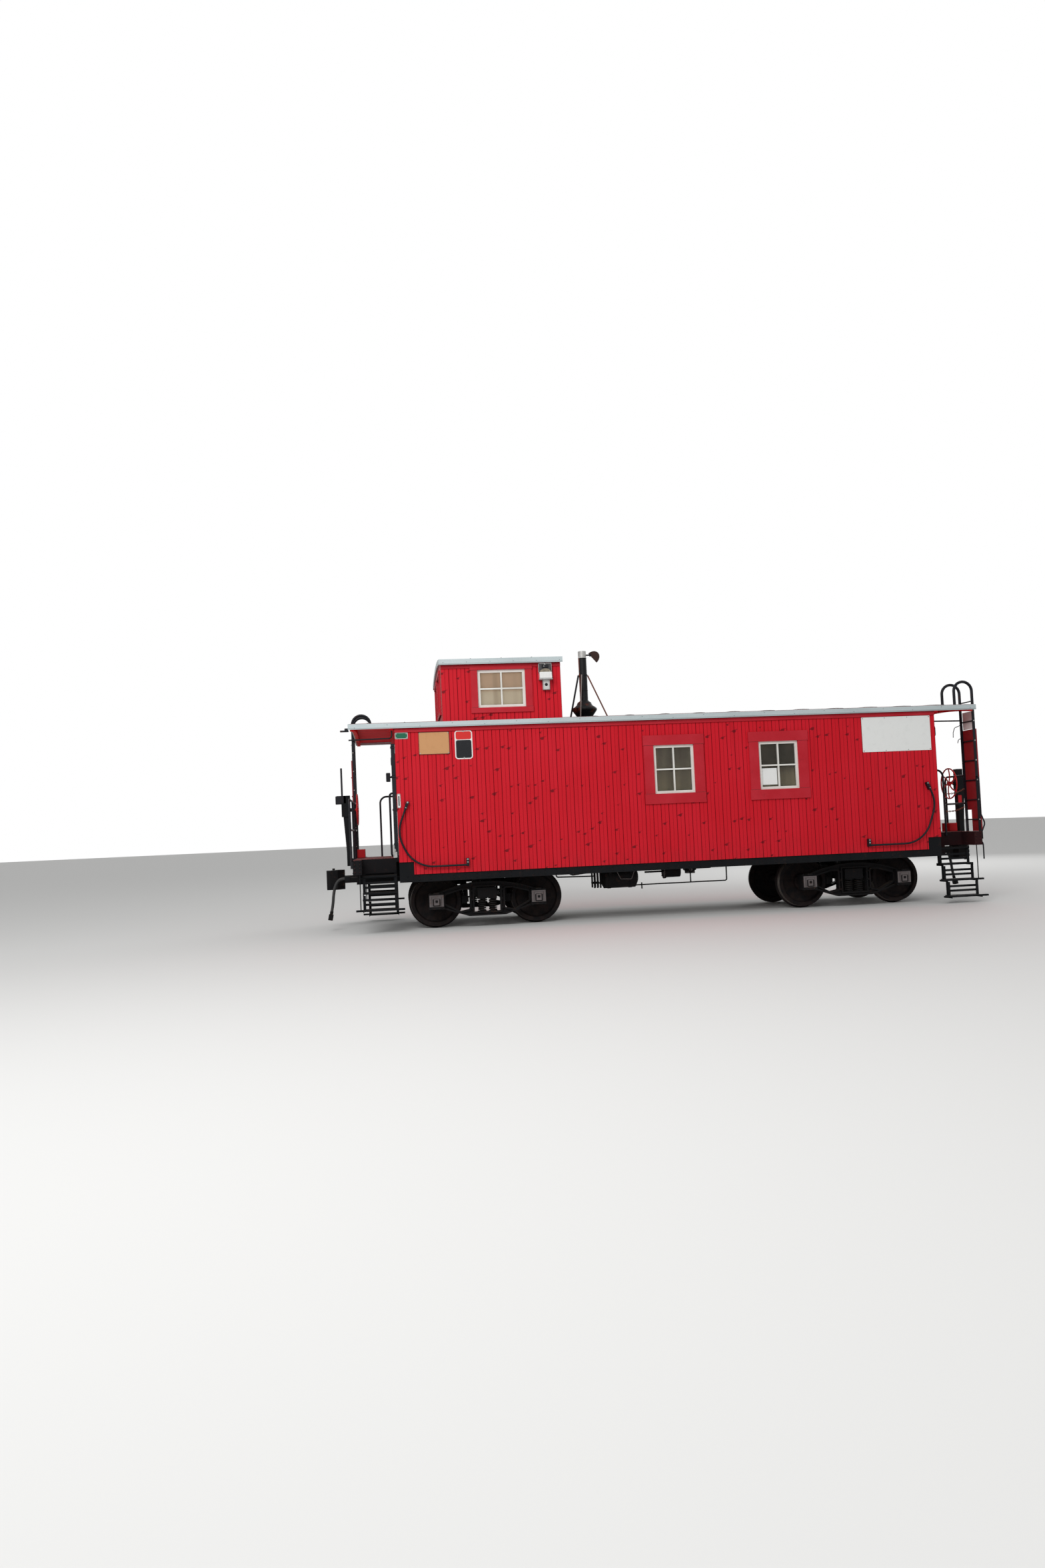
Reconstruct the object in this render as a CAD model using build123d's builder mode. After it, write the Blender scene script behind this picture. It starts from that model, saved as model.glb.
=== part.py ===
from build123d import *
from math import radians, sqrt, tan
import os

os.makedirs("parts", exist_ok=True)

# A wood-sheathed caboose on two four-wheel trucks.
# X runs along the car, Y across it with -Y the near side, Z up. All sizes are in millimetres.
# Z = 0 is the lowest point of the wheel flanges and X = 0 is the middle of the body.

# Wheelsets
tread_radius = 419
flange_depth = 28
flange_radius = tread_radius + flange_depth
axle_height = flange_radius
flange_back = 680
wheel_width = 140
rim_depth = 65
axle_radius = 76
wheel_seat_radius = 92
hub_radius = 140
journal_radius = 64
journal_end = 1085
running_gap = 0.3

# Trucks
truck_centre = 3160
wheelbase = 1676
half_wheelbase = wheelbase / 2
frame_centre_y = 990
frame_thickness = 120
frame_rib = 24
frame_recess = 34
frame_crown = 745
frame_bottom = 185
frame_window_half = 215
frame_window_top = 655
spring_seat = 250
spring_radius = 68
spring_row_x = 90
truck_plate_height = 720
truck_plate_radius = 165
bolster_half_width = 160
bolster_bottom = 470
bolster_top = 640
side_bearing_y = 640
side_bearing_gap = 6
box_half_width = 125
box_above_axle = 130
box_below_axle = 120
box_lid_y = 1150
lid_size = 236
brake_beam_x = 322
shoe_gap = 12
shoe_height = 130

# Body
body_length = 9150
half_length = body_length / 2
half_width = 1420
wall_thickness = 90
inner_half_width = half_width - wall_thickness
sill_bottom = 800
sill_face_setback = 20
siding_bottom = 923
notch_top = 1125
notch_length = 235
deck_height = 1190
floor_thickness = 60
floor_bottom = deck_height - floor_thickness
wall_top = 3273

# Siding boards, each with a bead groove along its middle
board_pitch = 130
groove_width = 10
groove_depth = 6
bead_width = 6
bead_depth = 3

# Underframe
side_sill_thickness = 80
centre_sill_half = 160
centre_sill_bottom = 770
web_thickness = 20
cover_thickness = 20
bearer_bottom = 900
bolster_taper = 60

# Roof
roof_overhang = 730
roof_end = half_length + roof_overhang
eave_half_width = 1490
fascia_thickness = 30
fascia_height = 82
fascia_top = wall_top + fascia_height
roof_rise = 105
roof_thickness = 45
carline_depth = 75
carline_width = 60

# Cupola
cupola_left = -3790
cupola_right = -1830
cupola_half_width = 1400
cupola_wall = 70
cupola_top = 4273
cupola_fascia_height = 85
cupola_overhang = 30
cupola_end_foot = 3250

# Windows
window_width = 683
window_bottom = 2050
window_height = 802
window_centres = (-6, 1787)
cupola_window_width = 781
cupola_window_bottom = 3565
cupola_window_height = 617
cupola_window_x = (cupola_left + cupola_right) / 2
end_window_width = 380
end_window_y = 640
cupola_end_window_width = 760
cupola_end_window_y = 620
trim_width = 165
cupola_trim_width = 85
cupola_trim_sides = 110
end_trim_width = 60
trim_thickness = 22
trim_head_lap = 10
trim_head_proud = 6
sash_rail = 45
muntin_width = 24
sash_setback = 12
sash_thickness = 35
glass_thickness = 6
blind_thickness = 8

# Doors
door_width = 700
door_height = 1960
door_thickness = 42
door_gap = 6
door_rail = 105
door_panel_depth = 10
door_glass_height = 620
door_pin_radius = 8
door_pin_x = half_length - wall_thickness - door_pin_radius - 0.5
door_pin_y = -door_width / 2 + door_gap - 2
door_hinge_heights = (1400, 2150, 2900)
door_knuckle = 60
jamb_knuckle = 40

# Platforms and steps
beam_inner = 5170
beam_outer = 5310
beam_bottom = 957
well_inner_y = 1000
plate_thickness = 12
striker_half = 160
tread_depth = 220
slat_width = 60
slat_thickness = 30
slats_per_tread = 3
stringer_width = 55
stringer_flange = 45
step_nose_overhang = 110

# End fittings
tube_radius = 17
rail_height = 975
gate_half_width = 280
rail_corner_y = 1370
post_foot = beam_bottom + 100
ladder_x = 5334
ladder_rail_depth = 46
ladder_rail_y = (930, 1330)
ladder_rail_width = 12
ladder_board_low = 1560
ladder_board_top = 2950
ladder_board_thickness = 20
rung_radius = 11
rung_spacing = 340
hoop_inner_x = 5010
hoop_top = 3790
hoop_tube = 24
lever_height = 1010
lever_radius = 11
lever_hang = 295
boarding_rail_top = 2275
boarding_rail_reach = 310
grip_rail_y = 950
grip_rail_low = 1217
grip_rail_top = 2252

# Hand brakes
stand_x = 5478
stand_y = 500
stand_depth = 150
stand_width = 120
stand_top = 2300
brake_wheel_x = 5277
brake_wheel_z = 2045
brake_wheel_radius = 280
wheel_rim_radius = 12
wheel_hub_radius = 38
spoke_count = 6
shaft_radius = 14

# Couplers
coupler_height = 847
shank_half_width = 62
shank_half_height = 62
coupler_pivot_x = 4850
coupler_pin_radius = 38
coupler_face_x = 5815
head_half_height = 165
knuckle_half_height = 130


# The roof's upper and lower faces are arcs across the car; height_at gives the arc's height at a distance y.
def arc_radius(half_span, rise):
    return (half_span ** 2 + rise ** 2) / (2 * rise)


def height_at(y, half_span, rise, edge_height):
    radius = arc_radius(half_span, rise)
    return edge_height + rise - radius + sqrt(radius ** 2 - y ** 2)


def roof_top_at(y):
    return height_at(y, eave_half_width, roof_rise, fascia_top)


def roof_under_at(y):
    return roof_top_at(y) - roof_thickness


def carline_under_at(y):
    return roof_under_at(y) - carline_depth


def fascia_under_at(y):
    return roof_top_at(y) - fascia_height


def cupola_top_at(y):
    return height_at(y, eave_half_width, roof_rise, cupola_top + cupola_fascia_height)


def cupola_under_at(y):
    return cupola_top_at(y) - roof_thickness


def cupola_fascia_under_at(y):
    return cupola_top_at(y) - cupola_fascia_height


# An arched strip between two heights, drawn across the car at station x.
def arched_strip(x, reach, top_at, bottom_at):
    with BuildSketch(Plane.YZ.offset(x)) as strip:
        with BuildLine():
            ThreePointArc((-reach, top_at(reach)), (0, top_at(0)), (reach, top_at(reach)))
            Line((reach, top_at(reach)), (reach, bottom_at(reach)))
            ThreePointArc((reach, bottom_at(reach)), (0, bottom_at(0)), (-reach, bottom_at(reach)))
            Line((-reach, bottom_at(reach)), (-reach, top_at(reach)))
        make_face()
    return strip.sketch


# The space under an arched roof, used to trim the walls that stand below it.
def space_under(x, reach, foot, under_at):
    with BuildSketch(Plane.YZ.offset(x)) as space:
        with BuildLine():
            ThreePointArc((-reach, under_at(reach)), (0, under_at(0)), (reach, under_at(reach)))
            Polyline((reach, under_at(reach)), (reach, foot), (-reach, foot), (-reach, under_at(reach)))
        make_face()
    return space.sketch


def block(low, high, mode=Mode.ADD):
    size = [b - a for a, b in zip(low, high)]
    centre = [(a + b) / 2 for a, b in zip(low, high)]
    with Locations(tuple(centre)):
        Box(size[0], size[1], size[2], mode=mode)


# A block on one side of the car: y_low and y_high are distances from the car's middle.
def side_block(side, x_span, y_span, z_span, mode=Mode.ADD):
    near, far = sorted((side * y_span[0], side * y_span[1]))
    block((x_span[0], near, z_span[0]), (x_span[1], far, z_span[1]), mode)


# A block at one end of the car: x_span holds distances from the car's middle.
def end_block(end, x_span, y_span, z_span, mode=Mode.ADD):
    low_x, high_x = sorted((end * x_span[0], end * x_span[1]))
    block((low_x, y_span[0], z_span[0]), (high_x, y_span[1], z_span[1]), mode)


def upright_cylinder(x, y, foot, radius, height, mode=Mode.ADD):
    with Locations((x, y, foot)):
        Cylinder(radius, height, align=(Align.CENTER, Align.CENTER, Align.MIN), mode=mode)


def lengthwise_cylinder(x, y, z, radius, length, mode=Mode.ADD):
    with Locations(Plane((x, y, z), z_dir=(1, 0, 0))):
        Cylinder(radius, length, align=(Align.CENTER, Align.CENTER, Align.MIN), mode=mode)


# A bent tube along a path of points, with its bends rounded.
def tube(points, radius, bend):
    with BuildPart() as bent:
        with BuildLine() as path:
            if len(points) > 2:
                FilletPolyline(*points, radius=bend)
            else:
                Line(*points)
        with BuildSketch(Plane(path.line @ 0, z_dir=path.line % 0)):
            Circle(radius)
        sweep()
    return bent.part


def write(piece, name):
    piece.label = name
    export_step(piece, f"parts/{name}.step")


# Every end fitting is drawn at the +X end and turned half a turn for the other end.
def write_both_ends(piece, name):
    write(piece, f"{name}_right")
    write(Rotation(0, 0, 180) * piece, f"{name}_left")


# Wheelsets: one revolved outline for half the axle with its journal, wheel seat and flanged wheel.
tread_outer = flange_back + wheel_width
rim_inner_radius = tread_radius - rim_depth
half_axle_outline = [
    (0, 0),
    (0, axle_radius),
    (flange_back - 60, axle_radius),
    (flange_back - 40, wheel_seat_radius),
    (flange_back - 30, hub_radius),
    (flange_back + 20, hub_radius + 5),
    (flange_back + 45, rim_inner_radius - 20),
    (flange_back, rim_inner_radius),
    (flange_back, flange_radius - 8),
    (flange_back + 10, flange_radius),
    (flange_back + 22, flange_radius - 6),
    (flange_back + 34, tread_radius + 2),
    (tread_outer, tread_radius - 5),
    (tread_outer, rim_inner_radius),
    (flange_back + 78, rim_inner_radius - 20),
    (flange_back + 60, hub_radius + 5),
    (tread_outer + 8, hub_radius),
    (tread_outer + 8, wheel_seat_radius),
    (tread_outer + 40, journal_radius),
    (journal_end, journal_radius),
    (journal_end, 0),
]

wheelset_places = [
    ("wheelset_1", -truck_centre - half_wheelbase),
    ("wheelset_2", -truck_centre + half_wheelbase),
    ("wheelset_3", truck_centre - half_wheelbase),
    ("wheelset_4", truck_centre + half_wheelbase),
]
for name, axle_x in wheelset_places:
    axle_plane = Plane((axle_x, 0, axle_height), x_dir=(0, 1, 0), z_dir=(1, 0, 0))
    with BuildPart() as wheelset:
        with BuildSketch(axle_plane):
            with BuildLine():
                Polyline(*half_axle_outline, close=True)
            make_face()
        revolve(axis=Axis((axle_x, 0, axle_height), (0, 1, 0)))
        mirror(about=Plane.XZ)
    write(wheelset.part, name)


# Truck side frames: a cast truss with ribs round every edge and opening, drawn flat with x along the frame.
frame_inner_y = frame_centre_y - frame_thickness / 2
frame_outer_y = frame_centre_y + frame_thickness / 2
frame_half_length = half_wheelbase + box_half_width
box_bottom = axle_height - box_below_axle
box_top = axle_height + box_above_axle
box_inner_y = frame_inner_y - 20
bore_end = journal_end + 5
shoulder = (half_wheelbase - 60, box_top + 25)
lower_knee = half_wheelbase - 95
foot_half = 300
opening_outline = ((290, 300), (290, 620), (420, 620), (690, 545), (690, 400), (440, 270))
with BuildSketch() as frame_face:
    with BuildLine():
        ThreePointArc((-shoulder[0], shoulder[1]), (0, frame_crown), shoulder)
        Polyline(
            shoulder, (frame_half_length, box_top), (frame_half_length, box_bottom),
            (lower_knee, box_bottom), (foot_half, frame_bottom), (-foot_half, frame_bottom),
            (-lower_knee, box_bottom), (-frame_half_length, box_bottom), (-frame_half_length, box_top),
            (-shoulder[0], shoulder[1]),
        )
    make_face()
    with Locations((0, (spring_seat + frame_window_top) / 2)):
        Rectangle(2 * frame_window_half, frame_window_top - spring_seat, mode=Mode.SUBTRACT)
    for end in (-1, 1):
        with BuildLine():
            FilletPolyline(*[(end * x, z) for x, z in opening_outline], close=True, radius=25)
        make_face(mode=Mode.SUBTRACT)
with BuildSketch() as frame_recesses:
    offset(frame_face.sketch, amount=-frame_rib, kind=Kind.INTERSECTION)

# Journal box lid: raised steps, each with its width, height and thickness, cut to a blunt point below.
lid_steps = [
    (lid_size, lid_size, 12),
    (lid_size * 0.68, lid_size * 0.74, 9),
    (lid_size * 0.4, lid_size * 0.48, 8),
]


def journal_box(axle_x):
    block((axle_x - box_half_width, -box_lid_y, box_bottom),
          (axle_x + box_half_width, -box_inner_y, box_top))
    with Locations(Plane((axle_x, -(box_inner_y + bore_end) / 2, axle_height), z_dir=(0, -1, 0))):
        Cylinder(journal_radius + running_gap, bore_end - box_inner_y, mode=Mode.SUBTRACT)
    face_y = box_lid_y
    for width, height, thickness in lid_steps:
        left, right = axle_x - width / 2, axle_x + width / 2
        top, knee, foot = axle_height + height / 2, axle_height - height / 3, axle_height - height / 2
        with BuildSketch(Plane.XZ.offset(face_y)) as shield:
            with BuildLine():
                Polyline(
                    (left, top), (right, top), (right, knee), (axle_x + width / 4, foot),
                    (axle_x - width / 4, foot), (left, knee), close=True,
                )
            make_face()
        extrude(shield.sketch, amount=thickness)
        face_y += thickness
    lengthwise_cylinder(axle_x - 45, -box_lid_y - 6, box_top + 4, 18, 90)


def truck_side_frames(centre_x):
    outer_plane = Plane((centre_x, -frame_outer_y, 0), x_dir=(1, 0, 0), z_dir=(0, -1, 0))
    with BuildPart() as frames:
        with BuildSketch(outer_plane):
            add(frame_face.sketch)
        extrude(amount=-frame_thickness)
        with BuildSketch(outer_plane):
            add(frame_recesses.sketch)
        extrude(amount=-frame_recess, mode=Mode.SUBTRACT)
        for end in (-1, 1):
            journal_box(centre_x + end * half_wheelbase)
        mirror(about=Plane.XZ)
    return frames.part


# Truck bolster: a box beam through both frame windows, stepped up to the centre plate, with side bearings.
bolster_reach = frame_outer_y - 20
plate_step = 30
plate_step_top = truck_plate_height - plate_step
rise_foot_y = 540
rise_head_y = 300
bearing_half_length = 90
bearing_half_width = 70
bearing_top = truck_plate_height - 20


def truck_bolster(centre_x):
    x_span = (centre_x - bolster_half_width, centre_x + bolster_half_width)
    with BuildPart() as bolster:
        with BuildSketch(Plane.YZ.offset(x_span[0])):
            with BuildLine():
                Polyline(
                    (-bolster_reach, bolster_top), (-rise_foot_y, bolster_top),
                    (-rise_head_y, plate_step_top), (rise_head_y, plate_step_top),
                    (rise_foot_y, bolster_top), (bolster_reach, bolster_top),
                    (bolster_reach, bolster_bottom), (-bolster_reach, bolster_bottom), close=True,
                )
            make_face()
        extrude(amount=2 * bolster_half_width)
        upright_cylinder(centre_x, 0, plate_step_top, truck_plate_radius, plate_step)
        for side in (-1, 1):
            side_block(side, (centre_x - bearing_half_length, centre_x + bearing_half_length),
                       (side_bearing_y - bearing_half_width, side_bearing_y + bearing_half_width),
                       (bolster_top, bearing_top))
    return bolster.part


# Springs: two in each frame window, each a coil's outer shape between two seat discs.
seat_disc = 14
disc_overhang = 8


def truck_springs(centre_x):
    with BuildPart() as springs:
        for row_x in (-spring_row_x, spring_row_x):
            for y in (-frame_centre_y, frame_centre_y):
                x = centre_x + row_x
                upright_cylinder(x, y, spring_seat, spring_radius, bolster_bottom - spring_seat)
                upright_cylinder(x, y, spring_seat, spring_radius + disc_overhang, seat_disc)
                upright_cylinder(x, y, bolster_bottom - seat_disc, spring_radius + disc_overhang, seat_disc)
    return springs.part


# Truck brakes: a beam by each axle with a shoe at each wheel, hung from the side frames, and a rod between.
beam_depth = 55
beam_half_height = 42
shoe_inner_y = flange_back + 42
shoe_outer_y = tread_outer - 8
hanger_inner_y = shoe_outer_y - 30
hanger_half = 18
hanger_arm_low = 640
hanger_arm_top = 680
shoe_reach = half_wheelbase - tread_radius + 20
brake_rod_y = 120
brake_rod_drop = 15
brake_rod_radius = 14


def truck_brakes(centre_x):
    with BuildPart() as brakes:
        for end in (-1, 1):
            beam_x = centre_x + end * brake_beam_x
            shoe_span = sorted((beam_x, centre_x + end * shoe_reach))
            hanger_span = (beam_x - hanger_half, beam_x + hanger_half)
            block((beam_x - beam_depth / 2, -shoe_outer_y, axle_height - beam_half_height),
                  (beam_x + beam_depth / 2, shoe_outer_y, axle_height + beam_half_height))
            for side in (-1, 1):
                side_block(side, shoe_span, (shoe_inner_y, shoe_outer_y),
                           (axle_height - shoe_height / 2, axle_height + shoe_height / 2))
                side_block(side, hanger_span, (hanger_inner_y, shoe_outer_y), (axle_height, hanger_arm_top))
                side_block(side, hanger_span, (hanger_inner_y, frame_inner_y),
                           (hanger_arm_low, hanger_arm_top))
            with Locations(Plane((centre_x + end * half_wheelbase, 0, axle_height), z_dir=(0, 1, 0))):
                Cylinder(tread_radius + shoe_gap, 2 * tread_outer, mode=Mode.SUBTRACT)
        lengthwise_cylinder(centre_x - brake_beam_x, brake_rod_y, axle_height - brake_rod_drop,
                            brake_rod_radius, 2 * brake_beam_x)
    return brakes.part


for name, centre_x in (("truck_left", -truck_centre), ("truck_right", truck_centre)):
    write(truck_side_frames(centre_x), f"{name}_side_frames")
    write(truck_bolster(centre_x), f"{name}_bolster")
    write(truck_springs(centre_x), f"{name}_springs")
    write(truck_brakes(centre_x), f"{name}_brakes")


# Underframe: side sills with a packing under each siding notch.
side_sill_inner = inner_half_width - side_sill_thickness
side_sill_face = half_width - sill_face_setback
with BuildPart() as side_sills:
    for side in (-1, 1):
        whole = (-half_length, half_length)
        side_block(side, whole, (side_sill_inner, inner_half_width), (sill_bottom, floor_bottom))
        side_block(side, whole, (inner_half_width, side_sill_face), (sill_bottom, siding_bottom))
        for end in (-1, 1):
            notch_span = sorted((end * (half_length - notch_length), end * half_length))
            side_block(side, notch_span, (inner_half_width, side_sill_face), (siding_bottom, notch_top))
write(side_sills.part, "side_sills")

# Centre sill: a channel open below, with the body centre plates and the coupler pockets and pins.
bolster_stations = (-truck_centre, truck_centre)
body_bolster_half = 125
pocket_half = 130
sill_web_inner = centre_sill_half - web_thickness
sill_web_top = floor_bottom - web_thickness
body_plate_foot = truck_plate_height + running_gap
with BuildPart() as centre_sill:
    with BuildSketch(Plane.YZ.offset(-beam_inner)):
        with BuildLine():
            Polyline(
                (-centre_sill_half, centre_sill_bottom), (-centre_sill_half, floor_bottom),
                (centre_sill_half, floor_bottom), (centre_sill_half, centre_sill_bottom),
                (sill_web_inner, centre_sill_bottom), (sill_web_inner, sill_web_top),
                (-sill_web_inner, sill_web_top), (-sill_web_inner, centre_sill_bottom), close=True,
            )
        make_face()
    extrude(amount=2 * beam_inner)
    for station in bolster_stations:
        block((station - body_bolster_half, -centre_sill_half, centre_sill_bottom - cover_thickness),
              (station + body_bolster_half, centre_sill_half, centre_sill_bottom))
        upright_cylinder(station, 0, body_plate_foot, truck_plate_radius,
                         centre_sill_bottom - body_plate_foot)
    for end in (-1, 1):
        pivot = end * coupler_pivot_x
        block((pivot - pocket_half, -centre_sill_half, centre_sill_bottom - cover_thickness),
              (pivot + pocket_half, centre_sill_half, centre_sill_bottom))
        upright_cylinder(pivot, 0, centre_sill_bottom, coupler_pin_radius, sill_web_top - centre_sill_bottom)
write(centre_sill.part, "centre_sill")

# Cross members between the sills: middle x, half width, underside at the centre sill and at the side sill.
end_sill_half = 50
cross_members_table = [
    (-half_length + end_sill_half, end_sill_half, siding_bottom, siding_bottom),
    (-truck_centre, body_bolster_half, bearer_bottom, bearer_bottom + bolster_taper),
    (-1300, 50, bearer_bottom, bearer_bottom),
    (0, 50, bearer_bottom, bearer_bottom),
    (1300, 50, bearer_bottom, bearer_bottom),
    (truck_centre, body_bolster_half, bearer_bottom, bearer_bottom + bolster_taper),
    (half_length - end_sill_half, end_sill_half, siding_bottom, siding_bottom),
]
bearing_foot = bearing_top + side_bearing_gap
pad_inset = 10
pad_half_length = bearing_half_length - pad_inset
pad_half_width = bearing_half_width - pad_inset
with BuildPart() as cross_members:
    for middle, half, inner_foot, outer_foot in cross_members_table:
        for side in (-1, 1):
            with BuildSketch(Plane.YZ.offset(middle - half)):
                with BuildLine():
                    Polyline(
                        (side * centre_sill_half, inner_foot), (side * side_sill_inner, outer_foot),
                        (side * side_sill_inner, floor_bottom), (side * centre_sill_half, floor_bottom),
                        close=True,
                    )
                make_face()
            extrude(amount=2 * half)
    for station in bolster_stations:
        for side in (-1, 1):
            side_block(side, (station - pad_half_length, station + pad_half_length),
                       (side_bearing_y - pad_half_width, side_bearing_y + pad_half_width),
                       (bearing_foot, bearer_bottom + bolster_taper))
write(cross_members.part, "cross_members")

with BuildPart() as floor:
    block((-half_length + wall_thickness, -inner_half_width, floor_bottom),
          (half_length - wall_thickness, inner_half_width, deck_height))
write(floor.part, "floor")


# A wall of upright boards: its plane lies at the wall's foot, x running along the wall and y outwards.
def boarded_wall(foot_plane, length, thickness, height):
    board_count = round(length / board_pitch)
    pitch = length / board_count
    outline = [(0, -thickness), (0, 0)]
    for joint in range(1, 2 * board_count):
        at_edge = joint % 2 == 0
        half_groove = (groove_width if at_edge else bead_width) / 2
        depth = groove_depth if at_edge else bead_depth
        middle = joint * pitch / 2
        outline += [(middle - half_groove, 0), (middle, -depth), (middle + half_groove, 0)]
    outline += [(length, 0), (length, -thickness)]
    with BuildPart() as wall:
        with BuildSketch(foot_plane):
            with BuildLine():
                Polyline(*outline, close=True)
            make_face()
        extrude(amount=height)
    return wall.part


# Side walls: trimmed under the roof, with notched lower corners.
def side_wall(side):
    foot_corner = (-side * half_length, side * half_width, siding_bottom)
    foot_plane = Plane(foot_corner, x_dir=(side, 0, 0), z_dir=(0, 0, 1))
    wall_height = roof_top_at(inner_half_width) - siding_bottom
    across = (inner_half_width - 1, half_width + 1)
    with BuildPart() as wall:
        add(boarded_wall(foot_plane, body_length, wall_thickness, wall_height))
        extrude(space_under(-half_length, eave_half_width, 0, roof_under_at), amount=body_length,
                mode=Mode.INTERSECT)
        for end in (-1, 1):
            notch_span = sorted((end * (half_length - notch_length), end * (half_length + 1)))
            side_block(side, notch_span, across, (siding_bottom - 1, notch_top), Mode.SUBTRACT)
        for centre in window_centres:
            side_block(side, (centre - window_width / 2, centre + window_width / 2), across,
                       (window_bottom, window_bottom + window_height), Mode.SUBTRACT)
    return wall.part


write(side_wall(-1), "side_wall_near")
write(side_wall(1), "side_wall_far")

# End walls: between the side walls, arched under the roof, with a middle doorway and a window each side.
end_wall_plane = Plane((half_length, inner_half_width, floor_bottom), x_dir=(0, -1, 0), z_dir=(0, 0, 1))
with BuildPart() as end_wall:
    add(boarded_wall(end_wall_plane, 2 * inner_half_width, wall_thickness, roof_top_at(0) - floor_bottom))
    extrude(space_under(half_length - wall_thickness, inner_half_width, floor_bottom, roof_under_at),
            amount=wall_thickness, mode=Mode.INTERSECT)
    through = (half_length - wall_thickness - 1, half_length + 1)
    end_block(1, through, (-door_width / 2, door_width / 2), (deck_height, deck_height + door_height),
              Mode.SUBTRACT)
    for side in (-1, 1):
        centre = side * end_window_y
        end_block(1, through, (centre - end_window_width / 2, centre + end_window_width / 2),
                  (window_bottom, window_bottom + window_height), Mode.SUBTRACT)
    for hinge_z in door_hinge_heights:
        knuckle_top = hinge_z - running_gap
        upright_cylinder(door_pin_x, door_pin_y, knuckle_top - jamb_knuckle, door_pin_radius, jamb_knuckle)
        block((door_pin_x, -door_width / 2 - 45, knuckle_top - jamb_knuckle),
              (half_length - wall_thickness, -door_width / 2, knuckle_top))
write_both_ends(end_wall.part, "end_wall")


# Roof: an arched deck each side of the cupola, with carlines under the end overhangs.
def roof_section(low_x, high_x, carline_starts):
    with BuildPart() as section:
        extrude(arched_strip(low_x, eave_half_width - fascia_thickness, roof_top_at, roof_under_at),
                amount=high_x - low_x)
        for start in carline_starts:
            extrude(arched_strip(start, half_width, roof_under_at, carline_under_at), amount=carline_width)
    return section.part


deck_end = roof_end - fascia_thickness
inner_carline = half_length + 10
outer_carline = deck_end - carline_width
write(roof_section(-deck_end, cupola_left, (-deck_end, -inner_carline - carline_width)), "roof_left")
write(roof_section(cupola_right, deck_end, (inner_carline, outer_carline)), "roof_right")

# Eave boards along both sides and round both ends, with the narrow eave beside the cupola.
with BuildPart() as roof_edges:
    for side in (-1, 1):
        side_block(side, (-roof_end, roof_end), (eave_half_width - fascia_thickness, eave_half_width),
                   (wall_top, fascia_top))
        side_block(side, (cupola_left, cupola_right),
                   (cupola_half_width, eave_half_width - fascia_thickness),
                   (roof_under_at(cupola_half_width), fascia_top))
    for face_x in (-roof_end, deck_end):
        extrude(arched_strip(face_x, eave_half_width, roof_top_at, fascia_under_at), amount=fascia_thickness)
write(roof_edges.part, "roof_edges")

# Cupola side walls stand on the body's side walls.
cupola_length = cupola_right - cupola_left
cupola_crown = cupola_top_at(0)
cupola_window_top = cupola_window_bottom + cupola_window_height
with BuildPart() as cupola_side_walls:
    for side in (-1, 1):
        foot_plane = Plane((cupola_left if side > 0 else cupola_right, side * cupola_half_width, wall_top),
                           x_dir=(side, 0, 0), z_dir=(0, 0, 1))
        add(boarded_wall(foot_plane, cupola_length, cupola_wall, cupola_crown - wall_top))
    extrude(space_under(cupola_left, eave_half_width, 0, cupola_under_at), amount=cupola_length,
            mode=Mode.INTERSECT)
    extrude(space_under(cupola_left, eave_half_width, 0, roof_under_at), amount=cupola_length,
            mode=Mode.SUBTRACT)
    for side in (-1, 1):
        window_span = (cupola_window_x - cupola_window_width / 2, cupola_window_x + cupola_window_width / 2)
        side_block(side, window_span, (cupola_half_width - cupola_wall - 1, cupola_half_width + 1),
                   (cupola_window_bottom, cupola_window_top), Mode.SUBTRACT)
write(cupola_side_walls.part, "cupola_side_walls")

# Cupola end walls reach down through the roof opening.
cupola_inner = cupola_half_width - cupola_wall
with BuildPart() as cupola_end_walls:
    for end, face_x in ((-1, cupola_left), (1, cupola_right)):
        foot_corner = (face_x, end * cupola_inner, cupola_end_foot)
        foot_plane = Plane(foot_corner, x_dir=(0, -end, 0), z_dir=(0, 0, 1))
        add(boarded_wall(foot_plane, 2 * cupola_inner, cupola_wall, cupola_crown - cupola_end_foot))
    extrude(space_under(cupola_left, cupola_inner, cupola_end_foot, cupola_under_at), amount=cupola_length,
            mode=Mode.INTERSECT)
    for side in (-1, 1):
        centre = side * cupola_end_window_y
        block((cupola_left - 1, centre - cupola_end_window_width / 2, cupola_window_bottom),
              (cupola_right + 1, centre + cupola_end_window_width / 2, cupola_window_top), Mode.SUBTRACT)
write(cupola_end_walls.part, "cupola_end_walls")

cupola_low_x = cupola_left - cupola_overhang
cupola_high_x = cupola_right + cupola_overhang
with BuildPart() as cupola_roof:
    extrude(arched_strip(cupola_low_x + fascia_thickness, eave_half_width - fascia_thickness, cupola_top_at,
                         cupola_under_at), amount=cupola_high_x - cupola_low_x - 2 * fascia_thickness)
write(cupola_roof.part, "cupola_roof")

with BuildPart() as cupola_edges:
    for side in (-1, 1):
        side_block(side, (cupola_low_x, cupola_high_x),
                   (eave_half_width - fascia_thickness, eave_half_width),
                   (cupola_top, cupola_top + cupola_fascia_height))
    for face_x in (cupola_low_x, cupola_high_x - fascia_thickness):
        extrude(arched_strip(face_x, eave_half_width, cupola_top_at, cupola_fascia_under_at),
                amount=fascia_thickness)
write(cupola_edges.part, "cupola_edges")


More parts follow.
